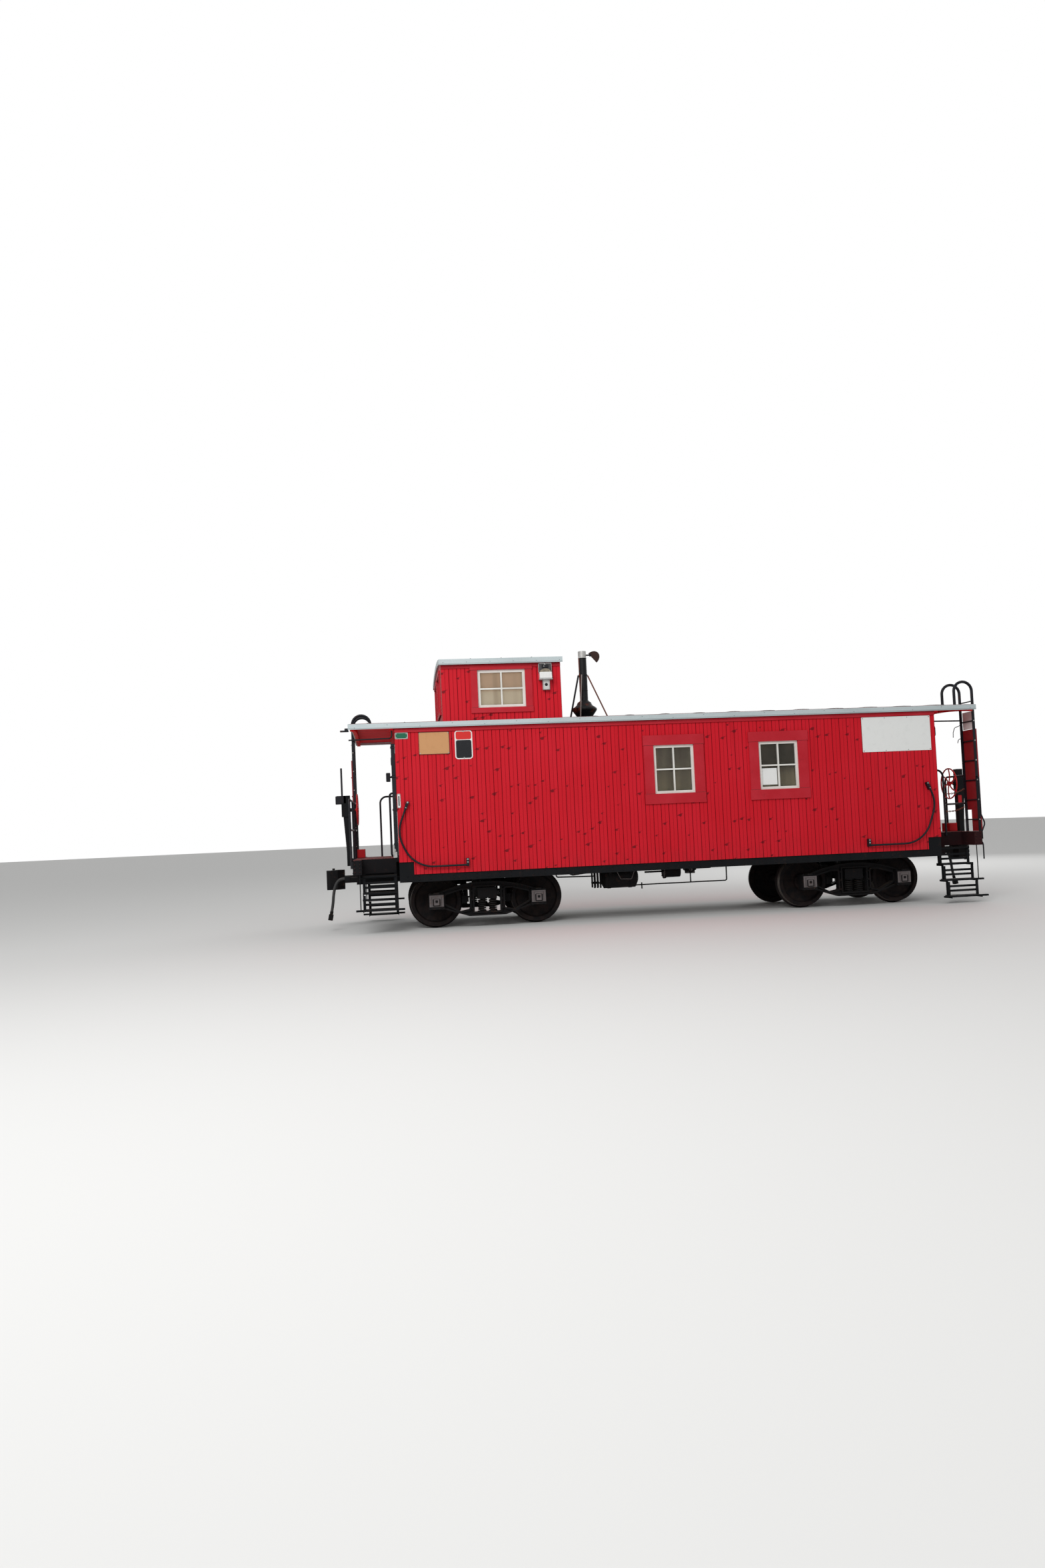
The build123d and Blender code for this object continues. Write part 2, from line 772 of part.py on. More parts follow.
# Window trim: boards round each opening on the outside face, the head and sill running past the sides.
def trim_ring(plane, width, height, board, side_board):
    with BuildPart() as ring:
        with BuildSketch(plane):
            Rectangle(width + 2 * side_board, height + 2 * board)
            Rectangle(width, height, mode=Mode.SUBTRACT)
        extrude(amount=trim_thickness)
        with BuildSketch(plane):
            for end in (-1, 1):
                with Locations((0, end * (height + board) / 2)):
                    Rectangle(width + 2 * (side_board + trim_head_lap), board)
        extrude(amount=trim_thickness + trim_head_proud)
    return ring.part


# A sash of two by two panes, set back in the opening.
def sash_frame(plane, width, height):
    with BuildPart() as sash:
        with BuildSketch(plane):
            Rectangle(width, height)
            Rectangle(width - 2 * sash_rail, height - 2 * sash_rail, mode=Mode.SUBTRACT)
            Rectangle(muntin_width, height - 2 * sash_rail)
            Rectangle(width - 2 * sash_rail, muntin_width)
        extrude(amount=-sash_thickness)
    return sash.part


def pane(plane, width, height, thickness):
    with BuildPart() as sheet:
        with BuildSketch(plane):
            Rectangle(width, height)
        extrude(amount=-thickness)
    return sheet.part


# Each window: outside face plane at its centre, width, height, and trim above and beside it.
window_places = []
window_mid = window_bottom + window_height / 2
cupola_window_mid = cupola_window_bottom + cupola_window_height / 2
for side in (-1, 1):
    along = {"x_dir": (-side, 0, 0), "z_dir": (0, side, 0)}
    across = {"x_dir": (0, side, 0), "z_dir": (side, 0, 0)}
    for centre in window_centres:
        face = Plane((centre, side * half_width, window_mid), **along)
        window_places.append((face, window_width, window_height, trim_width, trim_width))
    face = Plane((cupola_window_x, side * cupola_half_width, cupola_window_mid), **along)
    window_places.append((face, cupola_window_width, cupola_window_height,
                          cupola_trim_width, cupola_trim_sides))
    cupola_face_x = cupola_left if side < 0 else cupola_right
    for half in (-1, 1):
        face = Plane((side * half_length, half * end_window_y, window_mid), **across)
        window_places.append((face, end_window_width, window_height, end_trim_width, end_trim_width))
        face = Plane((cupola_face_x, half * cupola_end_window_y, cupola_window_mid), **across)
        window_places.append((face, cupola_end_window_width, cupola_window_height,
                              end_trim_width, end_trim_width))

glass_setback = sash_setback + sash_thickness
blind_setback = glass_setback + glass_thickness
with BuildPart() as window_trim:
    add([trim_ring(*place) for place in window_places])
write(window_trim.part, "window_trim")

with BuildPart() as window_sashes:
    add([sash_frame(face.offset(-sash_setback), width, height)
         for face, width, height, *_ in window_places])
write(window_sashes.part, "window_sashes")

with BuildPart() as window_glass:
    add([pane(face.offset(-glass_setback), width, height, glass_thickness)
         for face, width, height, *_ in window_places])
write(window_glass.part, "window_glass")

with BuildPart() as window_blinds:
    add([pane(face.offset(-blind_setback), width, height, blind_thickness)
         for face, width, height, *_ in window_places])
write(window_blinds.part, "window_blinds")


# End doors: hinged on the inner face of one jamb and opening into the cabin, glazed above, panelled below.
door_hinge_y = -door_width / 2 + door_gap
door_latch_y = door_width / 2 - door_gap
door_foot = deck_height + door_gap
door_head = deck_height + door_height - door_gap
door_inner_x = half_length - wall_thickness + 3
door_outer_x = door_inner_x + door_thickness
door_panel_half = door_latch_y - door_rail
door_glass_top = door_head - door_rail
door_glass_foot = door_glass_top - door_glass_height
lock_rail_foot = door_glass_foot - door_rail
middle_stile_half = 35
knob_z = deck_height + 1000
knob_radius = 24
knob_neck = 22
knob_length = 18
knob_y = door_latch_y - door_rail / 2
with BuildPart() as door:
    block((door_inner_x, door_hinge_y, door_foot), (door_outer_x, door_latch_y, door_head))
    block((door_inner_x - 1, -door_panel_half, door_glass_foot),
          (door_outer_x + 1, door_panel_half, door_glass_top), Mode.SUBTRACT)
    for side in (-1, 1):
        side_block(side, (door_outer_x - door_panel_depth, door_outer_x + 1),
                   (middle_stile_half, door_panel_half), (door_foot + 2 * door_rail, lock_rail_foot),
                   Mode.SUBTRACT)
    lengthwise_cylinder(door_outer_x, knob_y, knob_z, knob_radius / 2, knob_neck)
    lengthwise_cylinder(door_outer_x + knob_neck, knob_y, knob_z, knob_radius, knob_length)
    for hinge_z in door_hinge_heights:
        upright_cylinder(door_pin_x, door_pin_y, hinge_z, door_pin_radius, door_knuckle)
        block((door_pin_x, door_hinge_y, hinge_z), (door_inner_x, door_hinge_y + 45, hinge_z + door_knuckle))
write_both_ends(door.part, "door")

glass_inner_x = door_inner_x + (door_thickness - glass_thickness) / 2
with BuildPart() as door_glass:
    block((glass_inner_x, -door_panel_half, door_glass_foot),
          (glass_inner_x + glass_thickness, door_panel_half, door_glass_top))
write_both_ends(door_glass.part, "door_glass")


# Platforms: a deck between the step wells, a deep end beam with the striker below, and the brake's foot box.
foot_box_height = 150
foot_box_half = 140
with BuildPart() as platform:
    block((half_length, -well_inner_y, floor_bottom), (beam_inner, well_inner_y, deck_height))
    block((beam_inner, -half_width, beam_bottom), (beam_outer, half_width, deck_height))
    for side in (-1, 1):
        side_block(side, (half_length + 50, beam_inner), (well_inner_y - plate_thickness, well_inner_y),
                   (beam_bottom, floor_bottom))
        side_block(side, (beam_inner, beam_outer), (striker_half - web_thickness, striker_half),
                   (centre_sill_bottom, beam_bottom))
    block((beam_inner, -striker_half, centre_sill_bottom - cover_thickness),
          (beam_outer, striker_half, centre_sill_bottom))
    block((beam_inner, -stand_y - foot_box_half, deck_height),
          (beam_outer - 5, -stand_y + foot_box_half, deck_height + foot_box_height))
write_both_ends(platform.part, "platform")

# Steps: table of treads with their height, outer edge and whether the nose runs past the stringers.
tread_table = [
    (930, 1220, False),
    (665, 1330, False),
    (400, 1450, True),
    (130, 1560, True),
]
step_span = (half_length + 45, beam_inner)
hanger_depth = 45
back_bar_inset = 20
back_bar_half = 18
stay_x = 5205
stay_radius = 8
stay_inset = 15


def steps(side, tread_count):
    with BuildPart() as unit:
        above = floor_bottom
        stringer_inner = well_inner_y - plate_thickness - stringer_width
        for height, outer, wide in tread_table[:tread_count]:
            inner = outer - tread_depth
            tread_foot = height - slat_thickness
            stringer_outer = stringer_inner + stringer_width
            for stringer_x, flange_x in ((step_span[0], step_span[0]),
                                         (step_span[1] - plate_thickness, step_span[1] - stringer_flange)):
                stringer_span = (stringer_x, stringer_x + plate_thickness)
                side_block(side, stringer_span, (stringer_inner, stringer_outer), (tread_foot, above))
                side_block(side, (flange_x, flange_x + stringer_flange),
                           (stringer_outer - plate_thickness, stringer_outer), (tread_foot, above))
                side_block(side, stringer_span, (min(inner, stringer_inner), outer),
                           (height - hanger_depth, tread_foot + 1))
            for slat in range(slats_per_tread):
                slat_inner = inner + slat * (tread_depth - slat_width) / (slats_per_tread - 1)
                is_nose = wide and slat == slats_per_tread - 1
                reach = step_nose_overhang if is_nose else 0
                side_block(side, (step_span[0] - reach, step_span[1] + reach),
                           (slat_inner, slat_inner + slat_width), (tread_foot, height))
            for share in (1 / 3, 2 / 3):
                bar_z = height + share * (above - height)
                side_block(side, step_span,
                           (stringer_inner + back_bar_inset, stringer_inner + 2 * back_bar_inset),
                           (bar_z - back_bar_half, bar_z + back_bar_half))
            above = height - hanger_depth
            stringer_inner = outer - stringer_width - 5
        stay_foot = tread_table[2][0]
        upright_cylinder(stay_x, side * (half_width - stay_inset), stay_foot, stay_radius,
                         beam_bottom - stay_foot)
    return unit.part


# The long flight is at the ladder's corner, the short one across from it.
with BuildPart() as step_pair:
    add([steps(-1, 4), steps(1, 3)])
write_both_ends(step_pair.part, "steps")


# End railing: one half from the ladder to the gate, the other from the gate to a rounded corner.
rail_x = beam_outer + tube_radius + 2
rail_top = deck_height + rail_height
rail_mid = deck_height + rail_height / 2
rail_bend = 90
rail_at_ladder = ladder_rail_y[0] - ladder_rail_width / 2
post_plate_half = 28
post_plate_height = 110
grip_y = ladder_rail_y[1] + 60
grip_top = rail_top - 40
grip_radius = 12
grip_bulge = 55
lever_x = rail_x + 8
lever_bracket_half = 20
with BuildPart() as end_railing:
    add(tube([(rail_x, -rail_at_ladder, rail_top), (rail_x, -gate_half_width, rail_top),
              (rail_x, -gate_half_width, post_foot)], tube_radius, rail_bend))
    add(tube([(rail_x, -rail_at_ladder, rail_mid), (rail_x, -gate_half_width, rail_mid)], tube_radius, 0))
    add(tube([(rail_x, gate_half_width, post_foot), (rail_x, gate_half_width, rail_top),
              (rail_x, rail_corner_y, rail_top), (rail_x, rail_corner_y, post_foot)],
             tube_radius, rail_bend))
    add(tube([(rail_x, gate_half_width, rail_mid), (rail_x, rail_corner_y, rail_mid)], tube_radius, 0))
    add(tube([(rail_x, -ladder_rail_y[1] - ladder_rail_width / 2, grip_top), (rail_x, -grip_y, grip_top),
              (rail_x, -grip_y, deck_height + 290), (rail_x + grip_bulge, -grip_y, deck_height + 150),
              (rail_x + grip_bulge, -grip_y, deck_height + 110), (rail_x, -grip_y, deck_height - 10),
              (rail_x, -grip_y, post_foot)], grip_radius, 40))
    for post_y in (-grip_y, -gate_half_width, gate_half_width, rail_corner_y):
        block((beam_outer, post_y - post_plate_half, post_foot),
              (rail_x, post_y + post_plate_half, post_foot + post_plate_height))
    add(tube([(lever_x, -gate_half_width / 2, lever_height), (lever_x, -grip_y, lever_height),
              (lever_x, -grip_y, lever_height - lever_hang)], lever_radius, 60))
    for bracket_y in (-gate_half_width, -ladder_rail_y[0] + 60):
        block((beam_outer, bracket_y - lever_bracket_half, lever_height - lever_bracket_half),
              (lever_x, bracket_y + lever_bracket_half, lever_height + lever_bracket_half))
write_both_ends(end_railing.part, "end_railing")


# Ladder up to the roof, its rails carried over the eave as hoops.
ladder_foot = post_foot
hoop_radius = (ladder_x - hoop_inner_x) / 2
hoop_spring_z = hoop_top - hoop_tube - hoop_radius


def hoop(rail_y):
    with BuildPart() as bent:
        with BuildLine() as path:
            Line((ladder_x, rail_y, fascia_top - 60), (ladder_x, rail_y, hoop_spring_z))
            ThreePointArc((ladder_x, rail_y, hoop_spring_z),
                          ((ladder_x + hoop_inner_x) / 2, rail_y, hoop_spring_z + hoop_radius),
                          (hoop_inner_x, rail_y, hoop_spring_z))
            Line((hoop_inner_x, rail_y, hoop_spring_z), (hoop_inner_x, rail_y, fascia_top - hoop_tube))
        with BuildSketch(Plane(path.line @ 0, z_dir=path.line % 0)):
            Circle(hoop_tube)
        sweep()
    return bent.part


with BuildPart() as ladder:
    for rail_y in ladder_rail_y:
        block((beam_outer, -rail_y - ladder_rail_width / 2, ladder_foot),
              (ladder_x + ladder_rail_depth / 2, -rail_y + ladder_rail_width / 2, fascia_top))
        add(hoop(-rail_y))
    extrude(space_under(half_length, eave_half_width, 0, roof_top_at), amount=roof_overhang,
            mode=Mode.SUBTRACT)
    rung_count = int((fascia_top - deck_height - 100) / rung_spacing) + 1
    for rung in range(rung_count):
        rung_z = deck_height + 200 + rung * rung_spacing
        with Locations(Plane((ladder_x + 5, -sum(ladder_rail_y) / 2, rung_z), z_dir=(0, 1, 0))):
            Cylinder(rung_radius, ladder_rail_y[1] - ladder_rail_y[0])
write_both_ends(ladder.part, "ladder")

# Boards across the outer edges of the ladder's rails, the lower one narrow and beside the outer rail.
board_face_x = ladder_x + ladder_rail_depth / 2
board_outer_y = ladder_rail_y[1] + ladder_rail_width / 2
board_inner_y = ladder_rail_y[0] - ladder_rail_width / 2
low_board_width = 280
with BuildPart() as ladder_boards:
    block((board_face_x, -board_outer_y, ladder_board_low),
          (board_face_x + ladder_board_thickness, -board_inner_y, ladder_board_top))
    block((board_face_x, -board_outer_y, deck_height),
          (board_face_x + ladder_board_thickness, -board_outer_y + low_board_width, ladder_board_low))
write_both_ends(ladder_boards.part, "ladder_boards")


# Hand brakes: a gear housing on a column outboard of the railing, its shaft carrying the wheel inboard.
stand_half_depth = stand_depth / 2
stand_half_width = stand_width / 2
housing_half_height = 120
stand_foot = post_foot
stand_inner_x = stand_x - stand_half_depth
stand_outer_x = stand_x + stand_half_depth
leg_outer_x = stand_x + 10
bracket_height = 50
bracket_half = 45
collar_radius = 32
collar_start = rail_x + tube_radius + 8
with BuildPart() as brake_stand:
    with BuildSketch(Plane.XZ.offset(stand_y - stand_half_width)):
        with BuildLine():
            Polyline(
                (stand_inner_x, stand_foot), (stand_inner_x, brake_wheel_z),
                (stand_outer_x - 20, brake_wheel_z), (leg_outer_x, stand_foot + 260),
                (leg_outer_x, stand_foot), close=True,
            )
        make_face()
    extrude(amount=stand_width)
    block((stand_inner_x, -stand_y - stand_half_width - 20, brake_wheel_z - housing_half_height),
          (stand_outer_x, -stand_y + stand_half_width + 20, brake_wheel_z + housing_half_height))
    block((stand_inner_x, -stand_y - stand_half_width, brake_wheel_z + housing_half_height),
          (stand_outer_x - 40, -stand_y + stand_half_width, stand_top))
    for foot_z in (stand_foot, deck_height - bracket_height):
        block((beam_outer, -stand_y - bracket_half, foot_z),
              (stand_inner_x, -stand_y + bracket_half, foot_z + bracket_height))
    lengthwise_cylinder(collar_start, -stand_y, brake_wheel_z, collar_radius, stand_inner_x - collar_start)
    lengthwise_cylinder(rail_x, -stand_y, brake_wheel_z, shaft_radius + running_gap, stand_x + 10 - rail_x,
                        Mode.SUBTRACT)
write_both_ends(brake_stand.part, "brake_stand")

# Brake wheel: a round rim, curved flat spokes and a hub on its shaft.
brake_wheel_plane = Plane((brake_wheel_x, -stand_y, brake_wheel_z), z_dir=(1, 0, 0))
spoke_width = 22
spoke_thickness = 12
spoke_bow = 34
spoke_reach = brake_wheel_radius - 8
with BuildSketch() as spoke:
    with BuildLine():
        ThreePointArc((wheel_hub_radius / 2, 0), (brake_wheel_radius / 2, spoke_bow), (spoke_reach, 0))
    trace(line_width=spoke_width)
with BuildPart() as brake_wheel:
    with BuildSketch(Plane((brake_wheel_x, -stand_y, brake_wheel_z), x_dir=(1, 0, 0), z_dir=(0, -1, 0))):
        with Locations((0, brake_wheel_radius - wheel_rim_radius)):
            Circle(wheel_rim_radius)
    revolve(axis=Axis((brake_wheel_x, -stand_y, brake_wheel_z), (1, 0, 0)))
    with BuildSketch(brake_wheel_plane.offset(-spoke_thickness / 2)):
        with PolarLocations(0, spoke_count):
            add(spoke.sketch)
    extrude(amount=spoke_thickness)
    lengthwise_cylinder(brake_wheel_x - 22, -stand_y, brake_wheel_z, wheel_hub_radius, 50)
    lengthwise_cylinder(brake_wheel_x, -stand_y, brake_wheel_z, shaft_radius, stand_x - brake_wheel_x)
write_both_ends(brake_wheel.part, "brake_wheel")


# Couplers: a shank swinging on its pin in the centre sill, with a guard arm and a closed knuckle on its pin.
knuckle_pin = (coupler_face_x - 105, -128)
knuckle_pin_radius = 22
pin_half_length = head_half_height + 25
slot_half_height = 9
slot_heights = (-75, 0, 75)
guard_outline = (
    (-300, -62), (-235, -150), (-150, -168), (-135, -70), (-120, 40), (-72, 112), (-12, 130), (0, 172),
    (-60, 190), (-190, 168), (-300, 62),
)
knuckle_outline = (
    (-150, -60), (-165, -165), (-95, -190), (-28, -150), (0, -70), (-4, 30), (-50, 44), (-72, -48),
)


def head_section(outline, half_height, corner):
    with BuildPart() as section:
        with BuildSketch(Plane.XY.offset(coupler_height - half_height)):
            with BuildLine():
                FilletPolyline(*[(coupler_face_x + x, y) for x, y in outline], close=True, radius=corner)
            make_face()
        extrude(amount=2 * half_height)
    return section.part


with BuildPart() as coupler:
    block((coupler_pivot_x - 70, -shank_half_width, coupler_height - shank_half_height),
          (coupler_face_x - 250, shank_half_width, coupler_height + shank_half_height))
    add(head_section(guard_outline, head_half_height, 12))
    add(head_section(knuckle_outline, knuckle_half_height, 10))
    for slot_z in slot_heights:
        block((coupler_face_x - 45, -160, coupler_height + slot_z - slot_half_height),
              (coupler_face_x + 1, 20, coupler_height + slot_z + slot_half_height), Mode.SUBTRACT)
    upright_cylinder(knuckle_pin[0], knuckle_pin[1], coupler_height - pin_half_length, knuckle_pin_radius,
                     2 * pin_half_length)
    with Locations((coupler_pivot_x, 0, coupler_height)):
        Cylinder(coupler_pin_radius + running_gap, 2 * shank_half_height, mode=Mode.SUBTRACT)
write_both_ends(coupler.part, "coupler")


# Curved grab irons on the sides, each bent from one rod between two brackets, diagonal corners alike.
grab_radius = 16
grab_bend = 500
grab_standoff = 60
grab_bracket = (44, 130)
grab_bracket_tilt = 22
grab_y = half_width + grab_standoff
long_grab_points = ((4423, 2031), (4591, 1591), (4343, 1040), (3483, 1040))
short_grab_points = ((4375, 2000), (4486, 1713), (4244, 1040), (3269, 1040))


def grab_iron(end, side):
    points = long_grab_points if end == side else short_grab_points
    (head_x, head_z), (foot_x, foot_z) = points[0], points[-1]
    with BuildPart() as iron:
        add(tube([(end * x, side * grab_y, z) for x, z in points], grab_radius, grab_bend))
        for x, z, tilt in ((head_x, head_z, grab_bracket_tilt), (foot_x, foot_z + grab_bracket[1] / 3, 0)):
            wall = Plane((end * x, side * half_width, z), x_dir=(1, 0, 0), z_dir=(0, side, 0))
            with BuildSketch(wall) as outline:
                Rectangle(*grab_bracket, rotation=-end * side * tilt)
            extrude(outline.sketch, amount=grab_standoff + 6)
    return iron.part


# Boarding rails: a tall one from the end wall to the deck's edge, and a straight one close to the wall.
rail_clearance = 3
rail_foot_half = 20
rail_foot_low = floor_bottom + 5
rail_foot_top = deck_height - 5


def boarding_rails(end):
    tall_centre_y = well_inner_y + tube_radius + rail_clearance
    tall_y = -end * tall_centre_y
    straight_y = end * grip_rail_y
    wall_x = end * half_length
    tall_x = end * (half_length + boarding_rail_reach)
    straight_x = end * (half_length + 115)
    with BuildPart() as rails:
        add(tube([(wall_x, tall_y, boarding_rail_top), (tall_x, tall_y, boarding_rail_top),
                  (tall_x, tall_y, floor_bottom)], tube_radius, 120))
        side_block(-end, (tall_x - rail_foot_half, tall_x + rail_foot_half), (well_inner_y, tall_centre_y),
                   (rail_foot_low, rail_foot_top))
        add(tube([(wall_x, straight_y, grip_rail_top), (straight_x, straight_y, grip_rail_top),
                  (straight_x, straight_y, grip_rail_low), (wall_x, straight_y, grip_rail_low)],
                 tube_radius, 45))
    return rails.part


with BuildPart() as grab_irons:
    for end in (-1, 1):
        add(boarding_rails(end))
        for side in (-1, 1):
            add(grab_iron(end, side))
write(grab_irons.part, "grab_irons")


# Smoke jack: pipe, flared flashing, collar, three stays to the roof and a hinged rain flap.
jack_x = -1148
jack_y = 300
jack_radius = 73
jack_top = 4732
jack_foot = roof_top_at(eave_half_width)
jack_wall = 6
stay_top = 4260
stay_radius = 8
collar_half = 15
stay_places = ((-260, 0), (-60, -260), (420, 60))
flap_radius = 95
jack_outline = (
    (0, jack_foot), (jack_radius + 75, jack_foot), (jack_radius + 75, 3560), (jack_radius + 150, 3690),
    (jack_radius + 80, 3740), (jack_radius + 65, 3830), (jack_radius, 3850),
    (jack_radius, stay_top - collar_half), (jack_radius + 12, stay_top - collar_half),
    (jack_radius + 12, stay_top + collar_half), (jack_radius, stay_top + collar_half),
    (jack_radius, jack_top), (jack_radius - jack_wall, jack_top),
    (jack_radius - jack_wall, jack_top - 200), (0, jack_top - 200),
)
with BuildPart() as smoke_jack:
    with BuildSketch(Plane((jack_x, jack_y, 0), x_dir=(1, 0, 0), z_dir=(0, -1, 0))):
        with BuildLine():
            Polyline(*jack_outline, close=True)
        make_face()
    revolve(axis=Axis((jack_x, jack_y, 0), (0, 0, 1)))
    for offset_x, offset_y in stay_places:
        foot_y = jack_y + offset_y
        foot = (jack_x + offset_x, foot_y, roof_top_at(foot_y) - 20)
        reach = sqrt(offset_x ** 2 + offset_y ** 2)
        head = (jack_x + offset_x * jack_radius / reach, jack_y + offset_y * jack_radius / reach, stay_top)
        add(tube([foot, head], stay_radius, 0))
    with Locations(Plane((jack_x + jack_radius + 85, jack_y, jack_top - 90), z_dir=(0.35, -0.9, 0.1))):
        Cylinder(flap_radius, 8)
    block((jack_x + jack_radius - 4, jack_y - 10, jack_top - 110),
          (jack_x + jack_radius + 80, jack_y + 10, jack_top - 70))
    extrude(space_under(cupola_right, eave_half_width, 0, roof_top_at), amount=half_length,
            mode=Mode.SUBTRACT)
write(smoke_jack.part, "smoke_jack")


# Air brake gear hung under the floor: reservoir with straps, brake cylinder with flange and rod, valve.
reservoir_x = -910
reservoir_y = -880
reservoir_z = 690
reservoir_radius = 175
reservoir_length = 620
strap_half_width = 25
strap_thickness = 6
cylinder_x = -70
cylinder_y = -600
cylinder_z = 740
cylinder_radius = 108
valve_x = 370
valve_y = -690
half_reservoir = reservoir_length / 2
reservoir_outline = (
    (-half_reservoir, 0), (-half_reservoir, 90), (-half_reservoir + 45, reservoir_radius),
    (half_reservoir - 45, reservoir_radius), (half_reservoir, 90), (half_reservoir, 0),
)
with BuildPart() as air_brake_gear:
    with BuildSketch(Plane((reservoir_x, reservoir_y, reservoir_z), x_dir=(1, 0, 0), z_dir=(0, -1, 0))):
        with BuildLine():
            Polyline(*reservoir_outline, close=True)
        make_face()
    revolve(axis=Axis((reservoir_x, reservoir_y, reservoir_z), (1, 0, 0)))
    for strap_x in (-180, 180):
        strap_span = (reservoir_x + strap_x - strap_half_width, reservoir_x + strap_x + strap_half_width)
        lengthwise_cylinder(strap_span[0], reservoir_y, reservoir_z, reservoir_radius + strap_thickness,
                            2 * strap_half_width)
        for side in (-1, 1):
            edge_y = reservoir_y + side * (reservoir_radius - 10)
            block((strap_span[0], edge_y - 8, reservoir_z), (strap_span[1], edge_y + 8, floor_bottom))
    lengthwise_cylinder(cylinder_x, cylinder_y, cylinder_z, cylinder_radius + 17, 30)
    lengthwise_cylinder(cylinder_x, cylinder_y, cylinder_z, cylinder_radius, 280)
    lengthwise_cylinder(cylinder_x - 330, cylinder_y, cylinder_z, 16, 330)
    block((-50, cylinder_y - 40, cylinder_z), (50, cylinder_y + 40, bearer_bottom))
    block((valve_x - 70, valve_y - 70, 690), (valve_x + 70, valve_y + 70, 830))
    lengthwise_cylinder(valve_x - 100, valve_y, 770, 34, 200)
    block((valve_x - 30, valve_y - 30, 830), (valve_x + 30, valve_y + 30, floor_bottom))
write(air_brake_gear.part, "air_brake_gear")

# Train pipe with an angle cock at each end, carried by hangers from the floor.
pipe_y = 360
pipe_z = 872
pipe_radius = 21
pipe_start = 1000
pipe_end = 5500
pipe_hangers = (1200, 2300, 4200)
cock_length = 90
cock_half = 35
with BuildPart() as train_pipe:
    for end in (-1, 1):
        middle_y = end * pipe_y
        add(tube([(end * pipe_start, middle_y, pipe_z), (end * pipe_end, middle_y, pipe_z)], pipe_radius, 0))
        end_block(end, (pipe_end - cock_length, pipe_end), (middle_y - cock_half, middle_y + cock_half),
                  (pipe_z - cock_half, pipe_z + cock_half))
        for hanger_x in pipe_hangers:
            block((end * hanger_x - 15, middle_y - 12, pipe_z),
                  (end * hanger_x + 15, middle_y + 12, floor_bottom))
write(train_pipe.part, "train_pipe")

# Air hoses: each corner of the route is rounded as far as its shorter run allows.
hose_diameter = 48
hose_points = ((5500, 872), (5565, 872), (5627, 820), (5672, 722), (5696, 592), (5708, 457), (5732, 335))
hose_route = [Vector(x, pipe_y, z) for x, z in hose_points]
corner_radii = []
for before, corner, after in zip(hose_route, hose_route[1:], hose_route[2:]):
    turn = (corner - before).get_angle(after - corner)
    shorter = min((corner - before).length, (after - corner).length)
    corner_radii.append(0.45 * shorter / tan(radians(turn) / 2))
with BuildPart() as hose:
    with BuildLine() as hose_path:
        FilletPolyline(*hose_route, radius=corner_radii)
    with BuildSketch(Plane(hose_path.line @ 0, z_dir=hose_path.line % 0)):
        Circle(hose_diameter / 2)
    sweep()
print("hose radii", [round(r) for r in corner_radii], "length", round(hose_path.wire().length))
write_both_ends(hose.part, "hose")

# Hose coupling: a clamped nipple and a flat gladhand along the hose's end.
hose_tip = hose_path.line @ 1
hose_way = hose_path.line % 1
nipple_length = 55
gladhand_length = 95
with BuildPart() as hose_fitting:
    with BuildSketch(Plane(hose_tip, z_dir=hose_way)):
        Circle(hose_diameter / 2 + 4)
    extrude(amount=nipple_length)
    with BuildSketch(Plane(hose_tip + hose_way * nipple_length, z_dir=hose_way)):
        RectangleRounded(75, 110, 20)
    extrude(amount=gladhand_length)
write_both_ends(hose_fitting.part, "hose_fitting")

# Yard lamp on the near side of the cupola: housing, deep lens below it and a sensor under the lens.
lamp_x = -2090
lamp_half = 100
lamp_top = 4255
lens_top = 4103
lens_foot = 3992
sensor_foot = 3825
lamp_profile = (
    (0, lens_foot), (0, lamp_top), (60, lamp_top), (78, lens_top), (120, lens_top), (135, lens_foot + 20),
    (120, lens_foot),
)
with BuildPart() as cupola_lamp:
    with BuildSketch(Plane.YZ.offset(lamp_x - lamp_half)):
        with BuildLine():
            Polyline(*[(-cupola_half_width - y, z) for y, z in lamp_profile], close=True)
        make_face()
    extrude(amount=2 * lamp_half)
    block((lamp_x - 45, -cupola_half_width - 75, sensor_foot), (lamp_x + 60, -cupola_half_width, lens_foot))
write(cupola_lamp.part, "cupola_lamp")
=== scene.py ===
import bpy
import bmesh
from math import cos, pi, radians, sin, sqrt
from mathutils import Matrix, Vector


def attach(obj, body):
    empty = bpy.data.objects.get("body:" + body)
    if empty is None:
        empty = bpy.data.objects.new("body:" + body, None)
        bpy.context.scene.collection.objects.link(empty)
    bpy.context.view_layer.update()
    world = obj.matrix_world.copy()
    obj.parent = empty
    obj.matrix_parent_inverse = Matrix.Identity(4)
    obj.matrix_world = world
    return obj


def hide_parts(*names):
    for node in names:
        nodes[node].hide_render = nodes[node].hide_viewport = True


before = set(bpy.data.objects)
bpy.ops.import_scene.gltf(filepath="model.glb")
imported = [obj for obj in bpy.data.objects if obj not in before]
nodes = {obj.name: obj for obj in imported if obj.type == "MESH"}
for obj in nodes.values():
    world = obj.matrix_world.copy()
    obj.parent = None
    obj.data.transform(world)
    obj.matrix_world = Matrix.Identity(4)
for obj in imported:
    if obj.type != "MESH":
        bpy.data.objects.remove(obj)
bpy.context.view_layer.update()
bpy.context.scene.view_settings.view_transform = "Standard"
truck = {"centre": 3.160, "axle": 0.838, "height": 0.447}  # from the car's middle, from the truck's, above the floor


def maths(operation, swapped=False):  # a method of Wire that joins it and another value by a Math node
    def method(self, other=0.0):
        first, second = (other, self) if swapped else (self, other)
        return self.sheet.node("ShaderNodeMath", {0: first, 1: second}, operation=operation)
    return method


